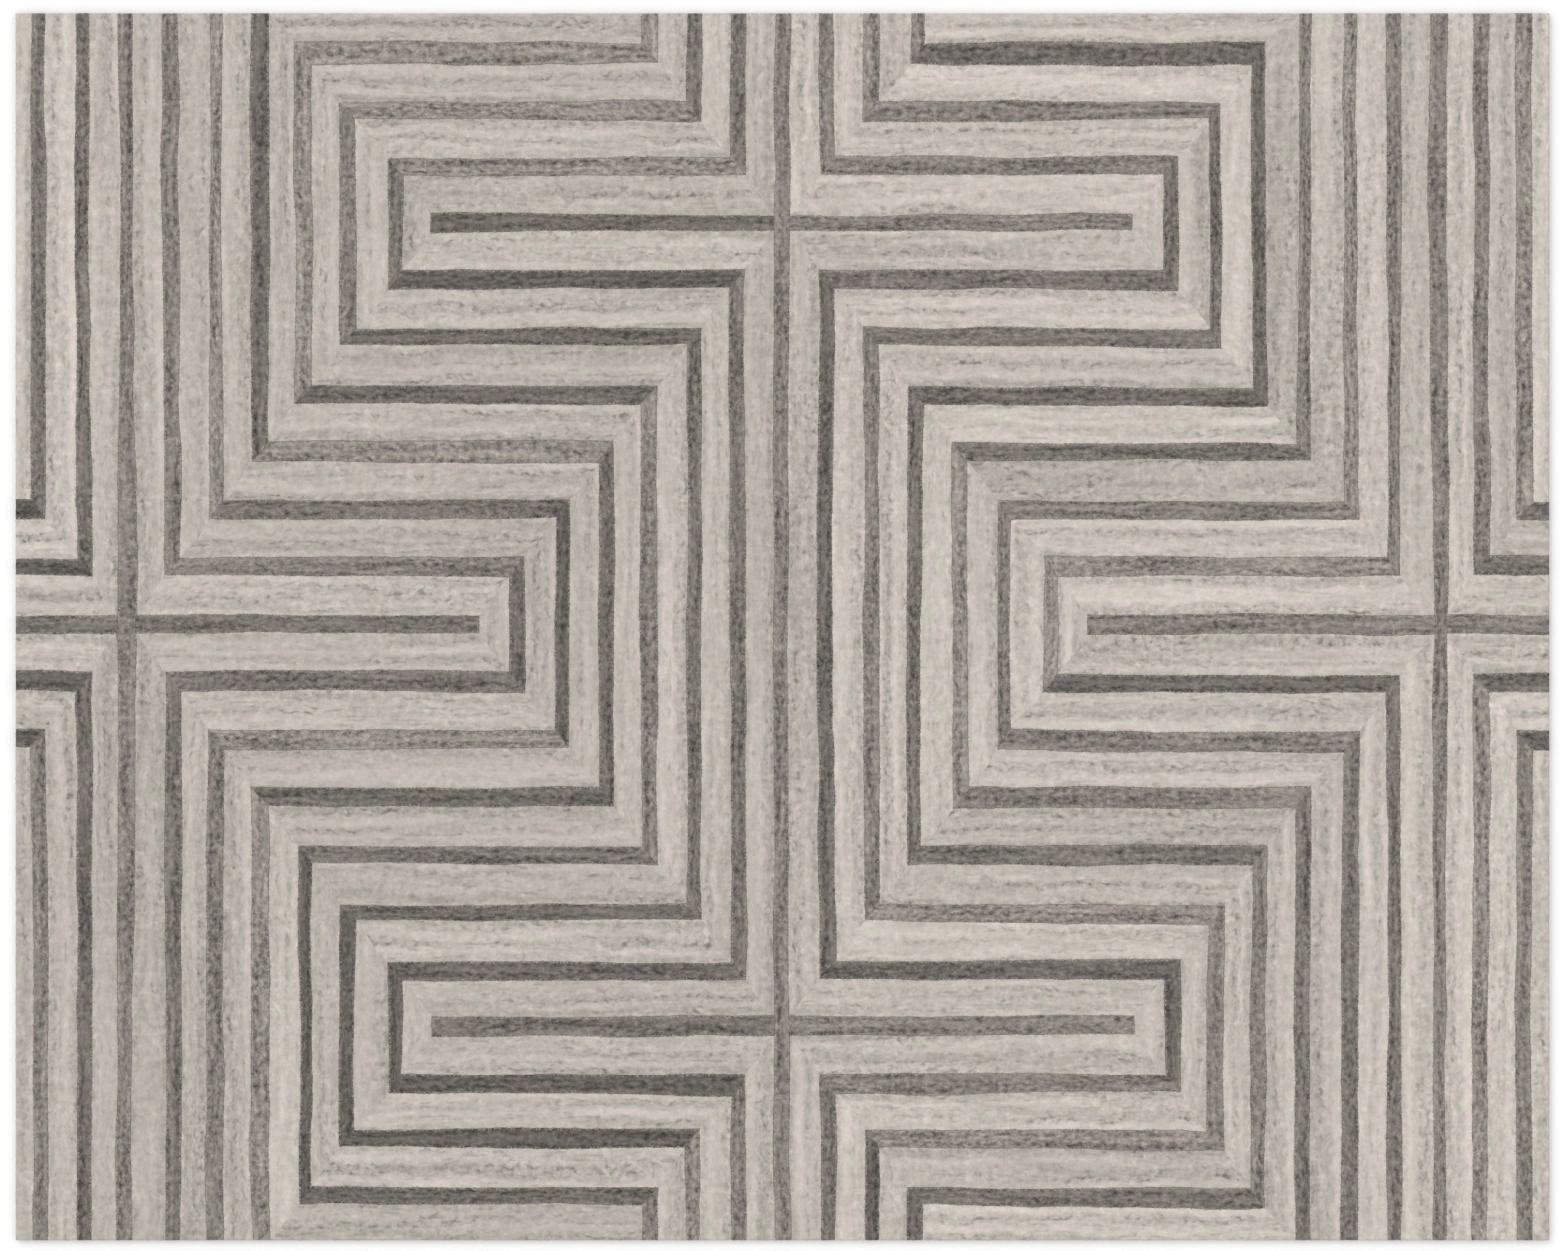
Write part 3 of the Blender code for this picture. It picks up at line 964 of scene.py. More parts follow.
@dataclass(frozen=True)
class RowGaps:
    """Gaps between rows of tufts, which waver, open and close along the row, and come in patches.

    Attributes:
        waver: How far a row strays to either side, in rows.
        waver_cell: The length and width of the cells in which it does.
        half_width: Half of a gap's width, in rows.
        open_cell: Length of the cells in which a gap opens and closes.
        open_step: Cells from one row to the next, so that each row opens on its own.
        shut_below: Unevenness at which a gap starts to open.
        open_over: Rise in unevenness over which it opens all the way.
        patch_cell: Length of the patches' cells, with patch_step as open_step.
        patch_contrast: How sharply the patches stand out.
        faint: How open a row is outside the patches.
        upright: How open an upright run's rows are, to a level run's 1.
    """

    waver: float = 0.35
    waver_cell: tuple[float, float] = (0.07, 0.05)
    half_width: float = 0.30
    open_cell: float = 0.022
    open_step: float = 7.3
    shut_below: float = 0.05
    open_over: float = 0.5
    patch_cell: float = 0.45
    patch_step: float = 3.7
    patch_contrast: float = 1.2
    faint: float = 0.15
    upright: float = 0.8

    def at(
        self, along: np.ndarray, across: np.ndarray, level: np.ndarray, row_pitch: float, seed: int
    ) -> np.ndarray:
        """How open the pile is: a bell across each gap, times where the gap is open, times the patches.

        Args:
            along: Distance along the run.
            across: Distance from the run's right-hand side, a station to each line of the array.
            level: Whether the run is a level one.
            row_pitch: The distance from one row to the next.
            seed: The strip's seed.

        Returns:
            From 0 to 1 for each point.
        """
        waver_at = (along / self.waver_cell[0], across / self.waver_cell[1])
        width = across.max(axis=1, keepdims=True)
        wavy = self.waver * Wander(seed + Draw.ROW_WAVER).at(*waver_at)
        rows = np.minimum(across, width - across) / row_pitch + wavy
        row = np.round(rows) * np.where(across < width / 2, 1, -1)
        bell = np.exp(-(((rows - np.round(rows)) / self.half_width) ** 2)) * (row != 0)
        opening = Wander(seed + Draw.GAPS).at(along / self.open_cell, row * self.open_step)
        patch = Wander(seed + Draw.PATCHES).at(along / self.patch_cell, row * self.patch_step)
        patches = self.faint + eased(0.5 + self.patch_contrast * patch)
        opened = eased((opening - self.shut_below) / self.open_over)
        return bell * opened * patches * np.where(level, 1.0, self.upright)


@dataclass
class TuftedStrip:
    """A strip of cut pile: a profile with rounded shoulders, carried along a path with mitred corners.

    Attributes:
        right: Corners of the strip's right-hand side, from its start.
        left: Corners of its left-hand side, one for each on the right.
        foot: Height of the cloth that the tufts stand in.
        yarn: What it is tufted with.
        shades: How bright each straight run is.
        seed: Makes this strip's unevenness its own.
        butts: Whether the start and the end stand against the same yarn, and so aren't rounded.

    The sizes after these are in metres. A cell's are its length and width. A tint is 0 if cool, 1 if warm.
    """

    right: np.ndarray
    left: np.ndarray
    foot: float
    yarn: Yarn
    shades: np.ndarray
    seed: int
    butts: tuple[bool, bool] = (False, False)
    step: float = 0.0050
    column_spacing: float = 0.0033
    shoulder_columns: tuple[float, ...] = (0.0, 0.0010, 0.0030)
    shoulder_reach: float = 0.0050
    shoulder_drop: float = 0.0010
    outer_drop: float = 0.0034
    uneven_shoulder: float = 0.5
    rim_reach: float = 0.0065
    rim_calm: float = 0.006
    mitre_blend: float = 0.006
    wall_levels: tuple[float, ...] = (0.5, 1.0)
    overhang: float = 0.0010
    fray: float = 0.5
    ridge: float = 0.0006
    swell: float = 0.00045
    tuft: float = 0.00040
    loose: float = 0.00016
    mitre_dip: float = 0.0005
    swell_cell: tuple[float, float] = (0.075, 0.013)
    tuft_cell: tuple[float, float] = (0.0065, 0.0050)
    shoulder_cell: tuple[float, float] = (0.017, 0.021)
    fray_cell: tuple[float, float] = (0.0031, 0.0047)
    gaps: RowGaps = RowGaps()
    pattern_span: float = 40.0
    tint_range: tuple[float, float] = (0.38, 0.62)

    def __post_init__(self) -> None:
        """Works out each run's direction, length and width, and draws its tint and its pattern's start."""
        middle = (self.right + self.left) / 2
        edges = np.diff(self.right, axis=0)
        self.ahead = edges / np.linalg.norm(edges, axis=1)[:, None]
        self.aside = np.stack([-self.ahead[:, 1], self.ahead[:, 0]], axis=-1)
        self.lengths = np.linalg.norm(np.diff(middle, axis=0), axis=1)
        self.widths = np.sum((self.left[:-1] - self.right[:-1]) * self.aside, axis=1)
        self.level = np.abs(self.ahead[:, 0]) > 0.5
        chance = np.random.default_rng(self.seed)
        self.pattern_starts = chance.uniform(0, self.pattern_span, len(self.ahead))
        self.tints = chance.uniform(*self.tint_range, len(self.ahead))

    def stations(self) -> tuple[np.ndarray, np.ndarray]:
        """Where the profile is repeated: at even steps along each run, and closer together at both ends.

        Returns:
            Each station's run, and its share of that run's length.
        """
        last = len(self.lengths) - 1
        counts = np.maximum(2, np.round(self.lengths / self.step)).astype(int)
        even = [k + np.arange(count) / count for k, count in enumerate(counts)]
        close = np.array(self.shoulder_columns)
        places = np.concatenate([*even, close / self.lengths[0], last + 1 - close / self.lengths[-1]])
        places = np.unique(np.round(places, 6))
        run = np.minimum(np.floor(places).astype(int), last)
        return run, places - run

    def columns(self) -> np.ndarray:
        """Where the profile has points, closer together at its shoulders.

        Returns:
            Shares of the strip's width.
        """
        width = self.widths.mean()
        close = np.array(self.shoulder_columns)
        inner = width - 2 * self.shoulder_reach
        even = self.shoulder_reach + np.linspace(0, inner, max(3, round(inner / self.column_spacing) + 1))
        return np.concatenate([close, even, width - close[::-1]]) / width

    def shoulder(self, distance: np.ndarray, drop: float) -> np.ndarray:
        """How far the pile falls near an edge: a quarter of an ellipse, from the whole drop to nothing."""
        inward = np.clip(1 - distance / self.shoulder_reach, 0, 1)
        return drop * (1 - np.sqrt(1 - inward**2))

    def uneven(
        self, draw: Draw, along: np.ndarray, across: np.ndarray, cell: tuple[float, float]
    ) -> np.ndarray:
        """Unevenness of one kind, in cells of its own length and width."""
        return Wander(self.seed + draw).at(along / cell[0], across / cell[1])

    def crown_heights(
        self,
        along: np.ndarray,
        across: np.ndarray,
        parting: np.ndarray,
        mitre: np.ndarray,
    ) -> np.ndarray:
        """Height of the cut tips: the crown, less the partings, plus swells, tufts and loose ends.

        Args:
            along: Distance along the run.
            across: Distance from the run's right-hand side.
            parting: How open the pile is at each point.
            mitre: True at the stations where two runs meet.

        Returns:
            One height for each point.
        """
        chance = np.random.default_rng(self.seed + Draw.LOOSE_ENDS)
        swell = self.uneven(Draw.SWELLS, along, across, self.swell_cell)
        tuft = self.uneven(Draw.TUFTS, along, across, self.tuft_cell)
        height = CROWN - self.ridge - self.swell - self.tuft - self.ridge * parting
        height = height + self.swell * swell + self.tuft * tuft
        height = height + chance.uniform(-self.loose, self.loose, height.shape)
        return height - np.where(mitre, self.mitre_dip, 0.0)

    def top(self) -> tuple[np.ndarray, np.ndarray, np.ndarray, np.ndarray, np.ndarray]:
        """The pile's upper surface: side to side between the two sides' points, at each station.

        Returns:
            Points in plan, heights, partings, closeness to a side, and each station's run.
        """
        run, share = self.stations()
        across_share = self.columns()
        first = self.right[run] * (1 - share[:, None]) + self.right[run + 1] * share[:, None]
        second = self.left[run] * (1 - share[:, None]) + self.left[run + 1] * share[:, None]
        plan = first[:, None] * (1 - across_share[:, None]) + second[:, None] * across_share[:, None]
        width = self.widths[run][:, None]
        across = across_share * width
        along = np.sum(plan * np.abs(self.ahead[run])[:, None], axis=2) + self.pattern_starts[run][:, None]
        level = np.broadcast_to(self.level[run][:, None], along.shape)
        mitre = ((share == 0) & (run > 0))[:, None]
        parting = self.gaps.at(along, across, level, self.yarn.row_pitch, self.seed)
        side = np.minimum(across, width - across)
        for end, sense in ((0, 1), (-1, -1)):
            if not self.butts[end]:
                beyond = np.sum((plan - self.right[end]) * self.ahead[end] * sense, axis=2)
                side = np.where((run == run[end])[:, None], np.minimum(side, beyond), side)
        outer = np.minimum(HALF_LENGTH - np.abs(plan[..., 0]), HALF_WIDTH - np.abs(plan[..., 1]))
        uneven = 1 + self.uneven_shoulder * self.uneven(Draw.SHOULDERS, along, across, self.shoulder_cell)
        inner_fall = self.shoulder(side, self.shoulder_drop) * uneven
        fall = np.maximum(inner_fall, self.shoulder(outer, self.outer_drop))
        height = self.crown_heights(along, across, parting, mitre) - fall
        rim = np.clip(1 - side / self.rim_reach, 0, 1) * eased(outer / self.rim_calm)
        return plan, height, parting, rim, run

    def yarn_values(self, run: np.ndarray, share: np.ndarray) -> np.ndarray:
        """Each station's brightness, tint and levelness, eased into the next run's on either side of a mitre.

        Args:
            run: Each station's run.
            share: Its share of that run's length.

        Returns:
            Three columns.
        """
        own = np.stack([self.shades, self.tints, self.level.astype(float)], axis=-1)
        before, after = own[np.maximum(run - 1, 0)], own[np.minimum(run + 1, len(own) - 1)]
        from_start, to_end = share * self.lengths[run], (1 - share) * self.lengths[run]
        lead = 0.5 * eased(1 - from_start / self.mitre_blend)[:, None]
        trail = 0.5 * eased(1 - to_end / self.mitre_blend)[:, None]
        return own[run] * (1 - lead - trail) + before * lead + after * trail

    def shell(self) -> Shell:
        """Closes the strip: the top, walls down to the cloth on every side, and a flat foot.

        Returns:
            The closed surface, with the values that the pile's finish reads.
        """
        plan, height, parting, rim, run = self.top()
        rows, columns = height.shape
        ring = rim_of(rows, columns)
        ring_plan, ring_height = plan.reshape(-1, 2)[ring], height.ravel()[ring]
        outer_x = np.abs(ring_plan[:, 0]) > HALF_LENGTH - self.overhang
        outer_y = np.abs(ring_plan[:, 1]) > HALF_WIDTH - self.overhang
        outward = np.sign(ring_plan) * np.stack([outer_x, outer_y], axis=-1)
        moved = HandDrift().moved(plan)
        edge_plan = moved.reshape(-1, 2)[ring]
        ragged = self.uneven(Draw.FRAY, ring_plan.sum(axis=1), ring_plan[:, 0], self.fray_cell)[:, None]
        points = [np.concatenate([moved.reshape(-1, 2), height.reshape(-1, 1)], axis=1)]
        points[0][ring, :2] -= outward * self.overhang * (1.0 + self.fray * ragged)
        nominal, depth = [plan.reshape(-1, 2)], [np.zeros(rows * columns)]
        middle_share = columns // 2
        side_sense = np.where(ring % columns > middle_share, 1.0, -1.0)
        for fall in self.wall_levels:
            bulge = math.sin(math.pi * fall) * self.fray * ragged - (fall == 1.0)
            sunk = ring_height * (1 - fall) + self.foot * fall
            spread = edge_plan + outward * self.overhang * bulge
            points.append(np.concatenate([spread, sunk[:, None]], axis=1))
            nominal.append(ring_plan)
            depth.append(side_sense * (ring_height - sunk))
        count, loop = rows * columns, len(ring)
        rings = [ring, *(count + loop * k + np.arange(loop) for k in range(len(self.wall_levels)))]
        station = ring // columns
        ring_run = run[np.minimum(station, np.roll(station, -1))]
        walls = [band_quads(upper, lower) for upper, lower in zip(rings, rings[1:])]
        foot_quads, foot_triangles, foot_quad_run = self.foot_faces(rings[-1], rows, columns, run)
        quads = np.concatenate([grid_quads(rows, columns), *walls, foot_quads])
        quad_run = np.concatenate([np.repeat(run[:-1], columns - 1), *[ring_run] * len(walls), foot_quad_run])
        triangle_run = np.repeat([run[0], run[-1]], columns)
        corner_run = np.concatenate([np.repeat(quad_run, 4), np.repeat(triangle_run, 3)])
        corner = np.concatenate([quads.ravel(), foot_triangles.ravel()])
        nominal, depth = np.concatenate(nominal), np.concatenate(depth)
        at_station = self.yarn_values(*self.stations())
        yarn = at_station[np.concatenate([np.arange(count) // columns, *[station] * len(self.wall_levels)])]
        wall_points = len(nominal) - count
        return Shell(
            np.concatenate(points),
            quads,
            foot_triangles,
            {
                "pile": self.run_places(nominal[corner], depth[corner], corner_run),
                "yarn": np.concatenate([yarn[corner], np.ones((len(corner), 1))], axis=1),
            },
            {
                "parting": np.concatenate([parting.ravel(), np.zeros(wall_points)]),
                "rim": np.concatenate([rim.ravel(), *[rim.ravel()[ring]] * len(self.wall_levels)]),
            },
        )

    def foot_faces(
        self, feet: np.ndarray, rows: int, columns: int, run: np.ndarray
    ) -> tuple[np.ndarray, np.ndarray, np.ndarray]:
        """The flat foot: a quad from side to side at each step, and a fan of triangles at each end.

        Args:
            feet: Numbers of the lowest ring's points.
            rows: How many stations the strip has.
            columns: How many points its profile has.
            run: Each station's run.

        Returns:
            Quads, triangles (the start's and then the end's), and each quad's run.
        """
        right = feet[:rows]
        end = feet[rows - 1 : rows + columns - 1]
        left = feet[rows + columns - 2 : 2 * rows + columns - 2][::-1]
        start = np.concatenate([feet[:1], feet[2 * rows + columns - 3 :][::-1]])
        quads = np.stack([right[1:-2], left[1:-2], left[2:-1], right[2:-1]], axis=-1)
        hub = np.full(columns - 1, right[1])
        fan = np.stack([hub, start[:-1], start[1:]], axis=-1)
        far_hub = np.full(columns - 1, right[-2])
        far_fan = np.stack([far_hub, end[1:], end[:-1]], axis=-1)
        triangles = [fan, [(right[1], start[-1], left[1])], far_fan, [(right[-2], left[-2], end[-1])]]
        return quads, np.concatenate(triangles), run[1:-2]

    def run_places(self, plan: np.ndarray, depth: np.ndarray, run: np.ndarray) -> np.ndarray:
        """Where each corner lies along and across its own run, in metres, with walls folded out flat.

        Args:
            plan: The corners in plan.
            depth: How far each corner is down a wall, below 0 on the right-hand side.
            run: The run that each corner's face belongs to.

        Returns:
            Two columns, along and across.
        """
        along = np.sum(plan * np.abs(self.ahead[run]), axis=1) + self.pattern_starts[run]
        across = np.sum((plan - self.right[run]) * self.aside[run], axis=1) + depth
        return np.stack([along, across], axis=-1)


@dataclass
class PileField:
    """One colour field of pile, standing where its CAD node does."""

    node: str
    yarn: Yarn

    def strips(self) -> list[TuftedStrip]:
        """The field's strips, with each run's brightness.

        Returns:
            One strip, or an upright and its bars for a tree.
        """
        corners = foot_corners(self.node)
        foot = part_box(self.node)[0][2]
        seed = zlib.crc32(self.node.encode()) % 100_000
        if "tree" in self.node:
            strips = []
            for k, ((right, left), lot) in enumerate(zip(tree_strips(corners), LOT_CHART[self.node])):
                butts = (k > 0 and k % 2 == 0, k % 2 == 1)
                shade = np.array([Lot[lot].value])
                own_seed = seed + SEEDS_PER_STRIP * k
                strips.append(TuftedStrip(right, left, foot, self.yarn, shade, own_seed, butts))
            return strips
        right, left = two_sides(corners)
        runs = len(right) - 1
        shades = self.grey_shades(right) if self.yarn is Yarn.GREY else self.ivory_shades(runs, seed)
        return [TuftedStrip(right, left, foot, self.yarn, shades, seed)]

    def grey_shades(self, right: np.ndarray) -> np.ndarray:
        """How bright each run of a grey line is, from the chart, which may start at the line's far end.

        Args:
            right: Corners of the line's right-hand side.

        Returns:
            One number for each run.
        """
        lots = LOT_CHART[self.node]
        from_far_end = abs(right[0][1]) < abs(right[-1][1]) if len(lots) == 2 else right[0][1] < 0
        return np.array([Lot[lot].value for lot in (lots[::-1] if from_far_end else lots)])

    def ivory_shades(self, runs: int, seed: int) -> np.ndarray:
        """How bright each run of an ivory band is: its part's brightness, partly tone and partly painted
        light, with an even spread about it.

        Args:
            runs: How many runs the band has.
            seed: The band's seed.

        Returns:
            One number for each run.
        """
        mean = next(shade for part, shade in IVORY_TONE_AND_LIGHT.items() if self.node.startswith(part))
        chance = np.random.default_rng(seed + Draw.SHADES)
        return mean + chance.uniform(-IVORY_SPREAD, IVORY_SPREAD, runs)

    def build(self, material: bpy.types.Material) -> bpy.types.Object:
        """Makes the field and puts it in the place of its CAD node.

        Args:
            material: The yarn's material.

        Returns:
            The field's object.
        """
        obj = make_object(f"{self.node}_pile", joined([strip.shell() for strip in self.strips()]))
        obj.data.materials.append(material)
        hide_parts(self.node)
        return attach(obj, "root")


# ---------------------------------------------------------------- backing


THREAD_SIDES = 6
RIPPLE_SEED, CRINKLE_SEED = 21, 22
RIPPLE_CELL = (0.11, 0.09)
CRINKLE_CELL = 0.03
CRINKLE_SHARE = 0.4


def flat_shell(
    place: Place, across: int, along: int, edge: Sequence[tuple[float, float]], ripple: float
) -> Shell:
    """A thin closed sheet: an upper face, an edge profile carried round its rim, and a lower face.

    Args:
        place: Where a point of the sheet lies in plan, from two shares of -1 to 1 and an inset.
        across: How many squares the faces have in the first direction.
        along: How many in the second.
        edge: The profile, as (inset, height), from the upper face's rim round to the lower face's.
        ripple: How far the sheet rises and falls.

    Returns:
        The closed surface.
    """
    first, second = np.meshgrid(np.linspace(-1, 1, across + 1), np.linspace(-1, 1, along + 1), indexing="ij")
    ring = rim_of(across + 1, along + 1)

    def lifted(shares: tuple[np.ndarray, np.ndarray], inset: float, height: float) -> np.ndarray:
        """Points of the sheet at one inset and height, with its ripple.

        Args:
            shares: The points' two shares.
            inset: How far the sheet is drawn in.
            height: The height of the unrippled sheet.

        Returns:
            One row of x, y and z for each point.
        """
        x, y = place(shares[0], shares[1], inset)
        wave = Wander(RIPPLE_SEED).at(x / RIPPLE_CELL[0], y / RIPPLE_CELL[1])
        crinkle = Wander(CRINKLE_SEED).at(x / CRINKLE_CELL, y / CRINKLE_CELL)
        lift = ripple * (wave + CRINKLE_SHARE * crinkle)
        return np.stack([x, y, height + lift], axis=-1).reshape(-1, 3)

    ring_shares = (first.ravel()[ring], second.ravel()[ring])
    rims = [lifted(ring_shares, inset, height) for inset, height in edge[1:-1]]
    upper = lifted((first, second), *edge[0])
    lower = lifted((first, second), *edge[-1])
    count, loop = len(upper), len(ring)
    rings = [ring, *(2 * count + loop * k + np.arange(loop) for k in range(len(rims))), count + ring]
    walls = [band_quads(over, under) for over, under in zip(rings, rings[1:])]
    face = grid_quads(across + 1, along + 1)
    quads = np.concatenate([face, count + face[:, ::-1], *walls])
    return Shell(np.concatenate([upper, lower, *rims]), quads, np.empty((0, 3), int))


def turned_edge(inset: float, top: float, bottom: float, steps: int = 6) -> list[tuple[float, float]]:
    """Half a circle round a fold or a cut edge, from its upper to its lower face.

    Args:
        inset: How far in the circle's outermost point lies.
        top: Height of the upper face.
        bottom: Height of the lower face.
        steps: How many steps the half circle takes.

    Returns:
        Points as (inset, height).
    """
    radius, middle = (top - bottom) / 2, (top + bottom) / 2
    angles = [math.pi * k / steps for k in range(steps + 1)]
    return [(inset + radius * (1 - math.sin(a)), middle + radius * math.cos(a)) for a in angles]


@dataclass
class FlatLayer:
    """A rectangular layer of the backing, with its own centre and half sides."""

    centre: np.ndarray
    half: np.ndarray

    @classmethod
    def of(cls, node: str) -> "FlatLayer":
        """The layer that fills a CAD node's box."""
        low, high = (np.array(corner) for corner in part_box(node))
        return cls((low + high) / 2, (high - low) / 2)

    @property
    def top(self) -> float:
        """Height of the upper face."""
        return self.centre[2] + self.half[2]

    @property
    def bottom(self) -> float:
        """Height of the lower face."""
        return self.centre[2] - self.half[2]

    def place(self, first: np.ndarray, second: np.ndarray, inset: float) -> tuple[np.ndarray, np.ndarray]:
        """Plan of a rectangle drawn in by an inset on every side.

        Args:
            first: Shares of its half length, from -1 to 1.
            second: Shares of its half width.
            inset: How far it is drawn in.

        Returns:
            x and y for each point.
        """
        x = self.centre[0] + first * (self.half[0] - inset)
        y = self.centre[1] + second * (self.half[1] - inset)
        return x, y


@dataclass
class Backing:
    """Everything under the pile: tufting cloth, latex, canvas, hem tapes, label and the sewing."""

    square: float = 0.025
    tape_square: float = 0.020
    tape_squares_across: int = 6
    label_squares: tuple[int, int] = (24, 16)
    ripple: float = 0.00008
    cloth_thickness: float = 0.0006
    turn_under: float = 0.035
    stitch_pitch: float = 0.0085
    stitch_reach: float = 0.0018
    stitch_radius: float = 0.00028
    label_pitch: float = 0.0040
    label_reach: float = 0.0007
    label_radius: float = 0.00016
    thread_rings: int = 5
    thread_lean: float = 0.6
    lean_length: float = 1.17
    tip_girth: float = 0.06

    def squares(self, layer: FlatLayer) -> tuple[int, int]:
        """How many squares a layer's faces take each way."""
        return tuple(max(4, int(round(2 * half / self.square))) for half in layer.half[:2])

    def finished(self, name: str, node: str, shell: Shell, finish: Finish) -> bpy.types.Object:
        """Makes a piece of the backing and puts it in the place of its CAD node.

        Args:
            name: The piece's name.
            node: The CAD node that it stands for.
            shell: Its surface.
            finish: What it is made of.

        Returns:
            The piece.
        """
        obj = make_object(name, shell)
        obj.data.materials.append(finish.material())
        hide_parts(node)
        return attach(obj, "root")

    def tufting_cloth(self) -> bpy.types.Object:
        """The cloth that the tufts stand in: one sheet whose edge folds under all the way round.

        Returns:
            The piece.
        """
        layer = FlatLayer.of("primary_cloth")
        top, bottom, thick = layer.top, layer.bottom, self.cloth_thickness
        fold = turned_edge(0.0, top, bottom, 8)
        hem_tip = turned_edge(0.0, bottom + thick, bottom, 2)
        hem = [(self.turn_under - inset, height) for inset, height in reversed(hem_tip)]
        inner_fold = turned_edge(thick, top - thick, bottom + thick, 6)[::-1]
        shell = flat_shell(layer.place, *self.squares(layer), [*fold, *hem, *inner_fold], self.ripple)
        obj = self.finished("primary_cloth_sheet", "primary_cloth", shell, TUFTING_CLOTH)
        return obj

    def latex(self) -> bpy.types.Object:
        """The coat that locks the tufts.

        Returns:
            The piece.
        """
        layer = FlatLayer.of("latex_layer")
        edge = turned_edge(0.0, layer.top, layer.bottom)
        shell = flat_shell(layer.place, *self.squares(layer), edge, self.ripple)
        return self.finished("latex_coat", "latex_layer", shell, LATEX)

    def canvas(self) -> bpy.types.Object:
        """The backing canvas, cut to lie inside the folded edge.

        Returns:
            The piece.
        """
        layer = FlatLayer.of("canvas_backing")
        edge = turned_edge(0.0, layer.top, layer.bottom, 4)
        shell = flat_shell(layer.place, *self.squares(layer), edge, self.ripple)
        obj = self.finished("canvas_sheet", "canvas_backing", shell, CANVAS)
        return obj

    def tape(self, side: str) -> bpy.types.Object:
        """One hem tape: a long strip whose ends are cut at 45 degrees to meet the next.

        Args:
            side: Which edge of the rug it covers.

        Returns:
            The piece.
        """
        node = f"hem_tape_{side}"
        layer = FlatLayer.of(node)
        long_axis = 0 if side in ("front", "back") else 1
        inward = -1.0 if side in ("back", "right") else 1.0
        half_long, half_wide = layer.half[long_axis], layer.half[1 - long_axis]

        def place(first: np.ndarray, second: np.ndarray, inset: float) -> tuple[np.ndarray, np.ndarray]:
            """Plan of the tape: the further in from the rug's edge, the shorter it is, by as much.

            Args:
                first: Shares of its half length, from -1 to 1.
                second: Shares of its half width.
                inset: How far it is drawn in.

            Returns:
                x and y for each point.
            """
            wide = second * (half_wide - inset)
            reach = half_long - (wide * inward + half_wide) - inset
            pair = (first * reach, layer.centre[1 - long_axis] + wide)
            return pair if long_axis == 0 else pair[::-1]

        squares = (int(2 * half_long / self.tape_square), self.tape_squares_across)
        edge = turned_edge(0.0, layer.top, layer.bottom + self.stitch_radius, 4)
        shell = flat_shell(place, *squares, edge, self.ripple)
        if long_axis == 1:
            shell.quads = shell.quads[:, ::-1]
        obj = self.finished(f"{node}_strip", node, shell, TAPE)
        return obj

    def label(self) -> bpy.types.Object:
        """A plain woven label with nothing on it.

        Returns:
            The piece.
        """
        layer = FlatLayer.of("care_label")
        edge = turned_edge(0.0, layer.top, layer.bottom, 4)
        shell = flat_shell(layer.place, *self.label_squares, edge, self.ripple / 2)
        obj = self.finished("care_label_cloth", "care_label", shell, LABEL_CLOTH)
        return obj

    def stitches(self, node: str, name: str, pitch: float, reach: float, radius: float) -> bpy.types.Object:
        """Slanting stitches round a rectangle: each a short tube that arches over the edge it holds.

        Each stitch's centre line leans by its reach along and across the row, and dips towards the floor
        in its middle by a sine.

        Args:
            node: The CAD node that the row stands for.
            name: The piece's name.
            pitch: Distance from one stitch to the next.
            reach: Half of a stitch's span across the edge.
            radius: The thread's radius.

        Returns:
            The piece.
        """
        layer = FlatLayer.of(node)
        half = layer.half[:2] - radius
        sides = [((-1, -1), (1, 0)), ((1, -1), (0, 1)), ((1, 1), (-1, 0)), ((-1, 1), (0, -1))]
        centres, leads = [], []
        for start, lead in sides:
            length = 2 * half[0] if lead[0] else 2 * half[1]
            count = int(length / pitch)
            steps = (np.arange(count) + 0.5) * length / count
            centres.append(layer.centre[:2] + np.array(start) * half + steps[:, None] * np.array(lead))
            leads.append(np.repeat([lead], count, axis=0))
        centre = np.concatenate(centres)[:, None, None]
        lead = np.concatenate(leads)[:, None, None].astype(float)
        normal = np.stack([-lead[..., 1], lead[..., 0]], axis=-1)
        along = np.linspace(-1, 1, self.thread_rings)[None, :, None]
        around = (np.arange(THREAD_SIDES) * math.tau / THREAD_SIDES)[None, None, :]
        girth = radius * np.sqrt(np.clip(1 + self.tip_girth - along**2, self.tip_girth, 1))
        line = centre + (lead * self.thread_lean + normal) * (along * reach)[..., None]
        sideways = (lead - normal * self.thread_lean) / self.lean_length
        flat = line + sideways * (girth * np.cos(around))[..., None]
        height = layer.top - radius - (layer.top - 2 * radius) * np.cos(along * math.pi / 2)
        height = np.broadcast_to(height + girth * np.sin(around), flat.shape[:3])
        points = np.concatenate([flat, height[..., None]], axis=-1)
        return self.finished(name, node, self.tubes(points), THREAD)

    def tubes(self, points: np.ndarray) -> Shell:
        """Closes many short six-sided tubes: walls between their rings, and two quads over each end.

        Args:
            points: An array of tube, ring, place round the ring, and x, y, z.

        Returns:
            The closed surfaces.
        """
        tubes, rings, around = points.shape[:3]
        number = np.arange(tubes * rings * around).reshape(tubes, rings, around)
        following = np.roll(number, -1, axis=2)
        corners = [number[:, :-1], following[:, :-1], following[:, 1:], number[:, 1:]]
        walls = np.stack(corners, axis=-1).reshape(-1, 4)
        first, last = number[:, 0], number[:, -1]
        near_caps = [first[:, [3, 2, 1, 0]], first[:, [5, 4, 3, 0]]]
        far_caps = [last[:, [0, 1, 2, 3]], last[:, [0, 3, 4, 5]]]
        quads = np.concatenate([walls, *near_caps, *far_caps])
        return Shell(points.reshape(-1, 3), quads, np.empty((0, 3), int))

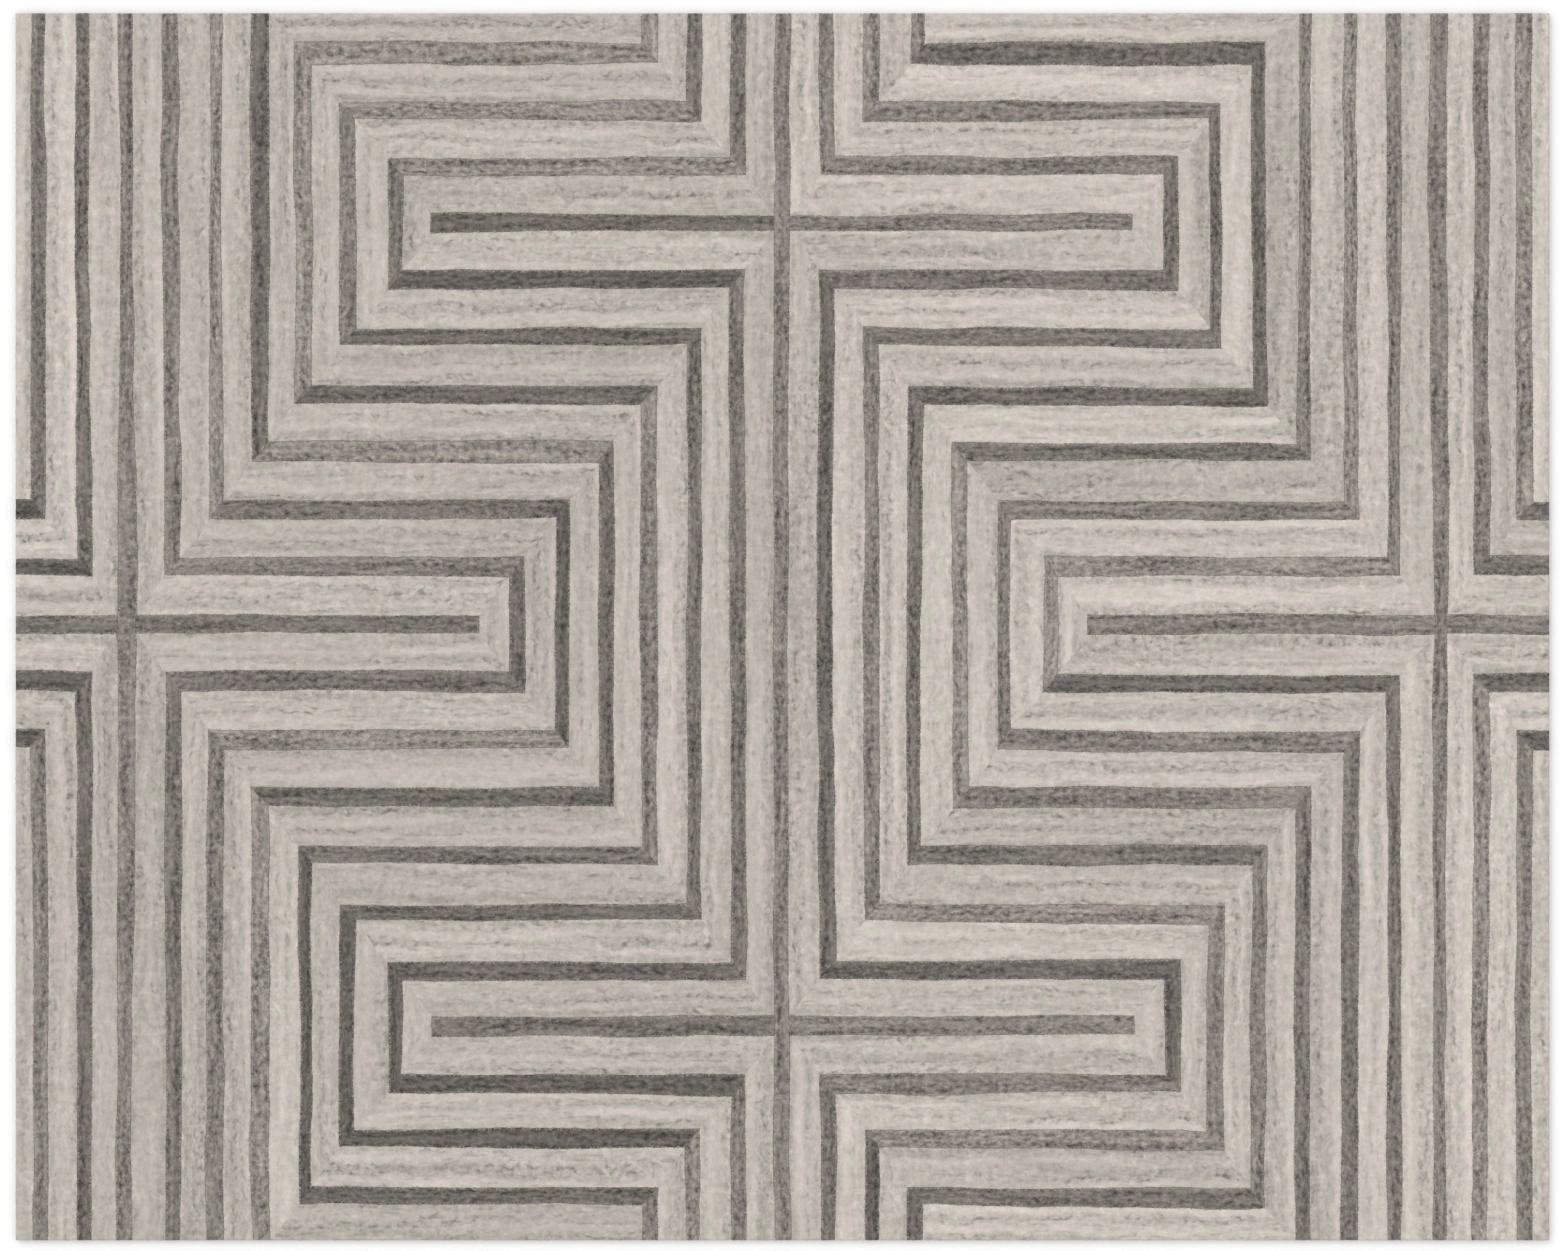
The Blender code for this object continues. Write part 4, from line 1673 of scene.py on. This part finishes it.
    def build(self) -> list[bpy.types.Object]:
        """Makes every layer from the top down.

        Returns:
            The pieces.
        """
        tapes = [self.tape(side) for side in ("front", "back", "left", "right")]
        hem = self.stitches(
            "hem_thread", "hem_stitches", self.stitch_pitch, self.stitch_reach, self.stitch_radius
        )
        sewn = self.stitches(
            "label_thread", "label_stitches", self.label_pitch, self.label_reach, self.label_radius
        )
        return [self.tufting_cloth(), self.latex(), self.canvas(), *tapes, hem, self.label(), sewn]


# ---------------------------------------------------------------- studio


@dataclass
class Studio:
    """A white floor, soft light from above, and a camera straight overhead."""

    framed_width: float = 3.1152
    aim: tuple[float, float] = (0.0030, 0.0025)
    lens: float = 200.0
    sensor: float = 36.0
    floor_side: float = 120.0
    sky: float = 1.0
    key: float = 0.74
    key_spread: float = math.radians(35)
    key_height: float = math.radians(38)
    key_bearing: float = math.radians(135)
    key_distance: float = 5.0

    def camera(self) -> None:
        """A long lens far overhead, so that the rug shows with almost no perspective."""
        data = bpy.data.cameras.new("overhead_camera")
        data.lens, data.sensor_width, data.sensor_fit = self.lens, self.sensor, "HORIZONTAL"
        distance = self.framed_width * self.lens / self.sensor
        data.clip_end = 4 * distance
        camera = bpy.data.objects.new("overhead_camera", data)
        camera.location = (*self.aim, CROWN + distance)
        bpy.context.scene.collection.objects.link(camera)
        bpy.context.scene.camera = camera

    def key_light(self) -> None:
        """One wide, even light from the back left, so that the pile's relief shows."""
        data = bpy.data.lights.new("key_light", "SUN")
        data.energy, data.angle = self.key, self.key_spread
        lamp = bpy.data.objects.new("key_light", data)
        flat = math.cos(self.key_height)
        lamp.location = (
            self.key_distance * flat * math.cos(self.key_bearing),
            self.key_distance * flat * math.sin(self.key_bearing),
            self.key_distance * math.sin(self.key_height),
        )
        lamp.rotation_euler = (-lamp.location).to_track_quat("-Z", "Y").to_euler()
        bpy.context.scene.collection.objects.link(lamp)

    def floor(self) -> None:
        """A wide floor just under the rug."""
        half = self.floor_side / 2
        points = np.array([(-half, -half, 0), (half, -half, 0), (half, half, 0), (-half, half, 0)])
        obj = make_object("floor", Shell(points, np.array([(0, 1, 2, 3)]), np.empty((0, 3), int)))
        obj.data.materials.append(FloorFinish().material())

    def sky_light(self) -> None:
        """Even white light from all round."""
        world = bpy.data.worlds.new("studio_sky")
        world.use_nodes = True
        background = world.node_tree.nodes["Background"]
        background.inputs["Color"].default_value = (1.0, 1.0, 1.0, 1.0)
        background.inputs["Strength"].default_value = self.sky
        bpy.context.scene.world = world

    def build(self) -> None:
        """Sets up the floor, the light and the camera."""
        self.floor()
        self.sky_light()
        self.key_light()
        self.camera()
        bpy.context.scene.view_settings.view_transform = "Standard"


# ---------------------------------------------------------------- assembly


def main() -> None:
    """Builds the rug from the studio floor up, and reports each piece."""
    logging.basicConfig(level=logging.INFO, format="%(name)s: %(message)s")
    Studio().build()
    for piece in Backing().build():
        log.info("%s: %d faces", piece.name, len(piece.data.polygons))
    materials = {Yarn.IVORY: IVORY_WOOL.material(), Yarn.GREY: GREY_WOOL.material()}
    for node in sorted(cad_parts):
        yarn = Yarn.GREY if "_line" in node else Yarn.IVORY if "_band" in node else None
        if yarn is None:
            continue
        piece = PileField(node, yarn).build(materials[yarn])
        log.info("%s: %d faces", piece.name, len(piece.data.polygons))


if __name__ == "__main__":
    main()
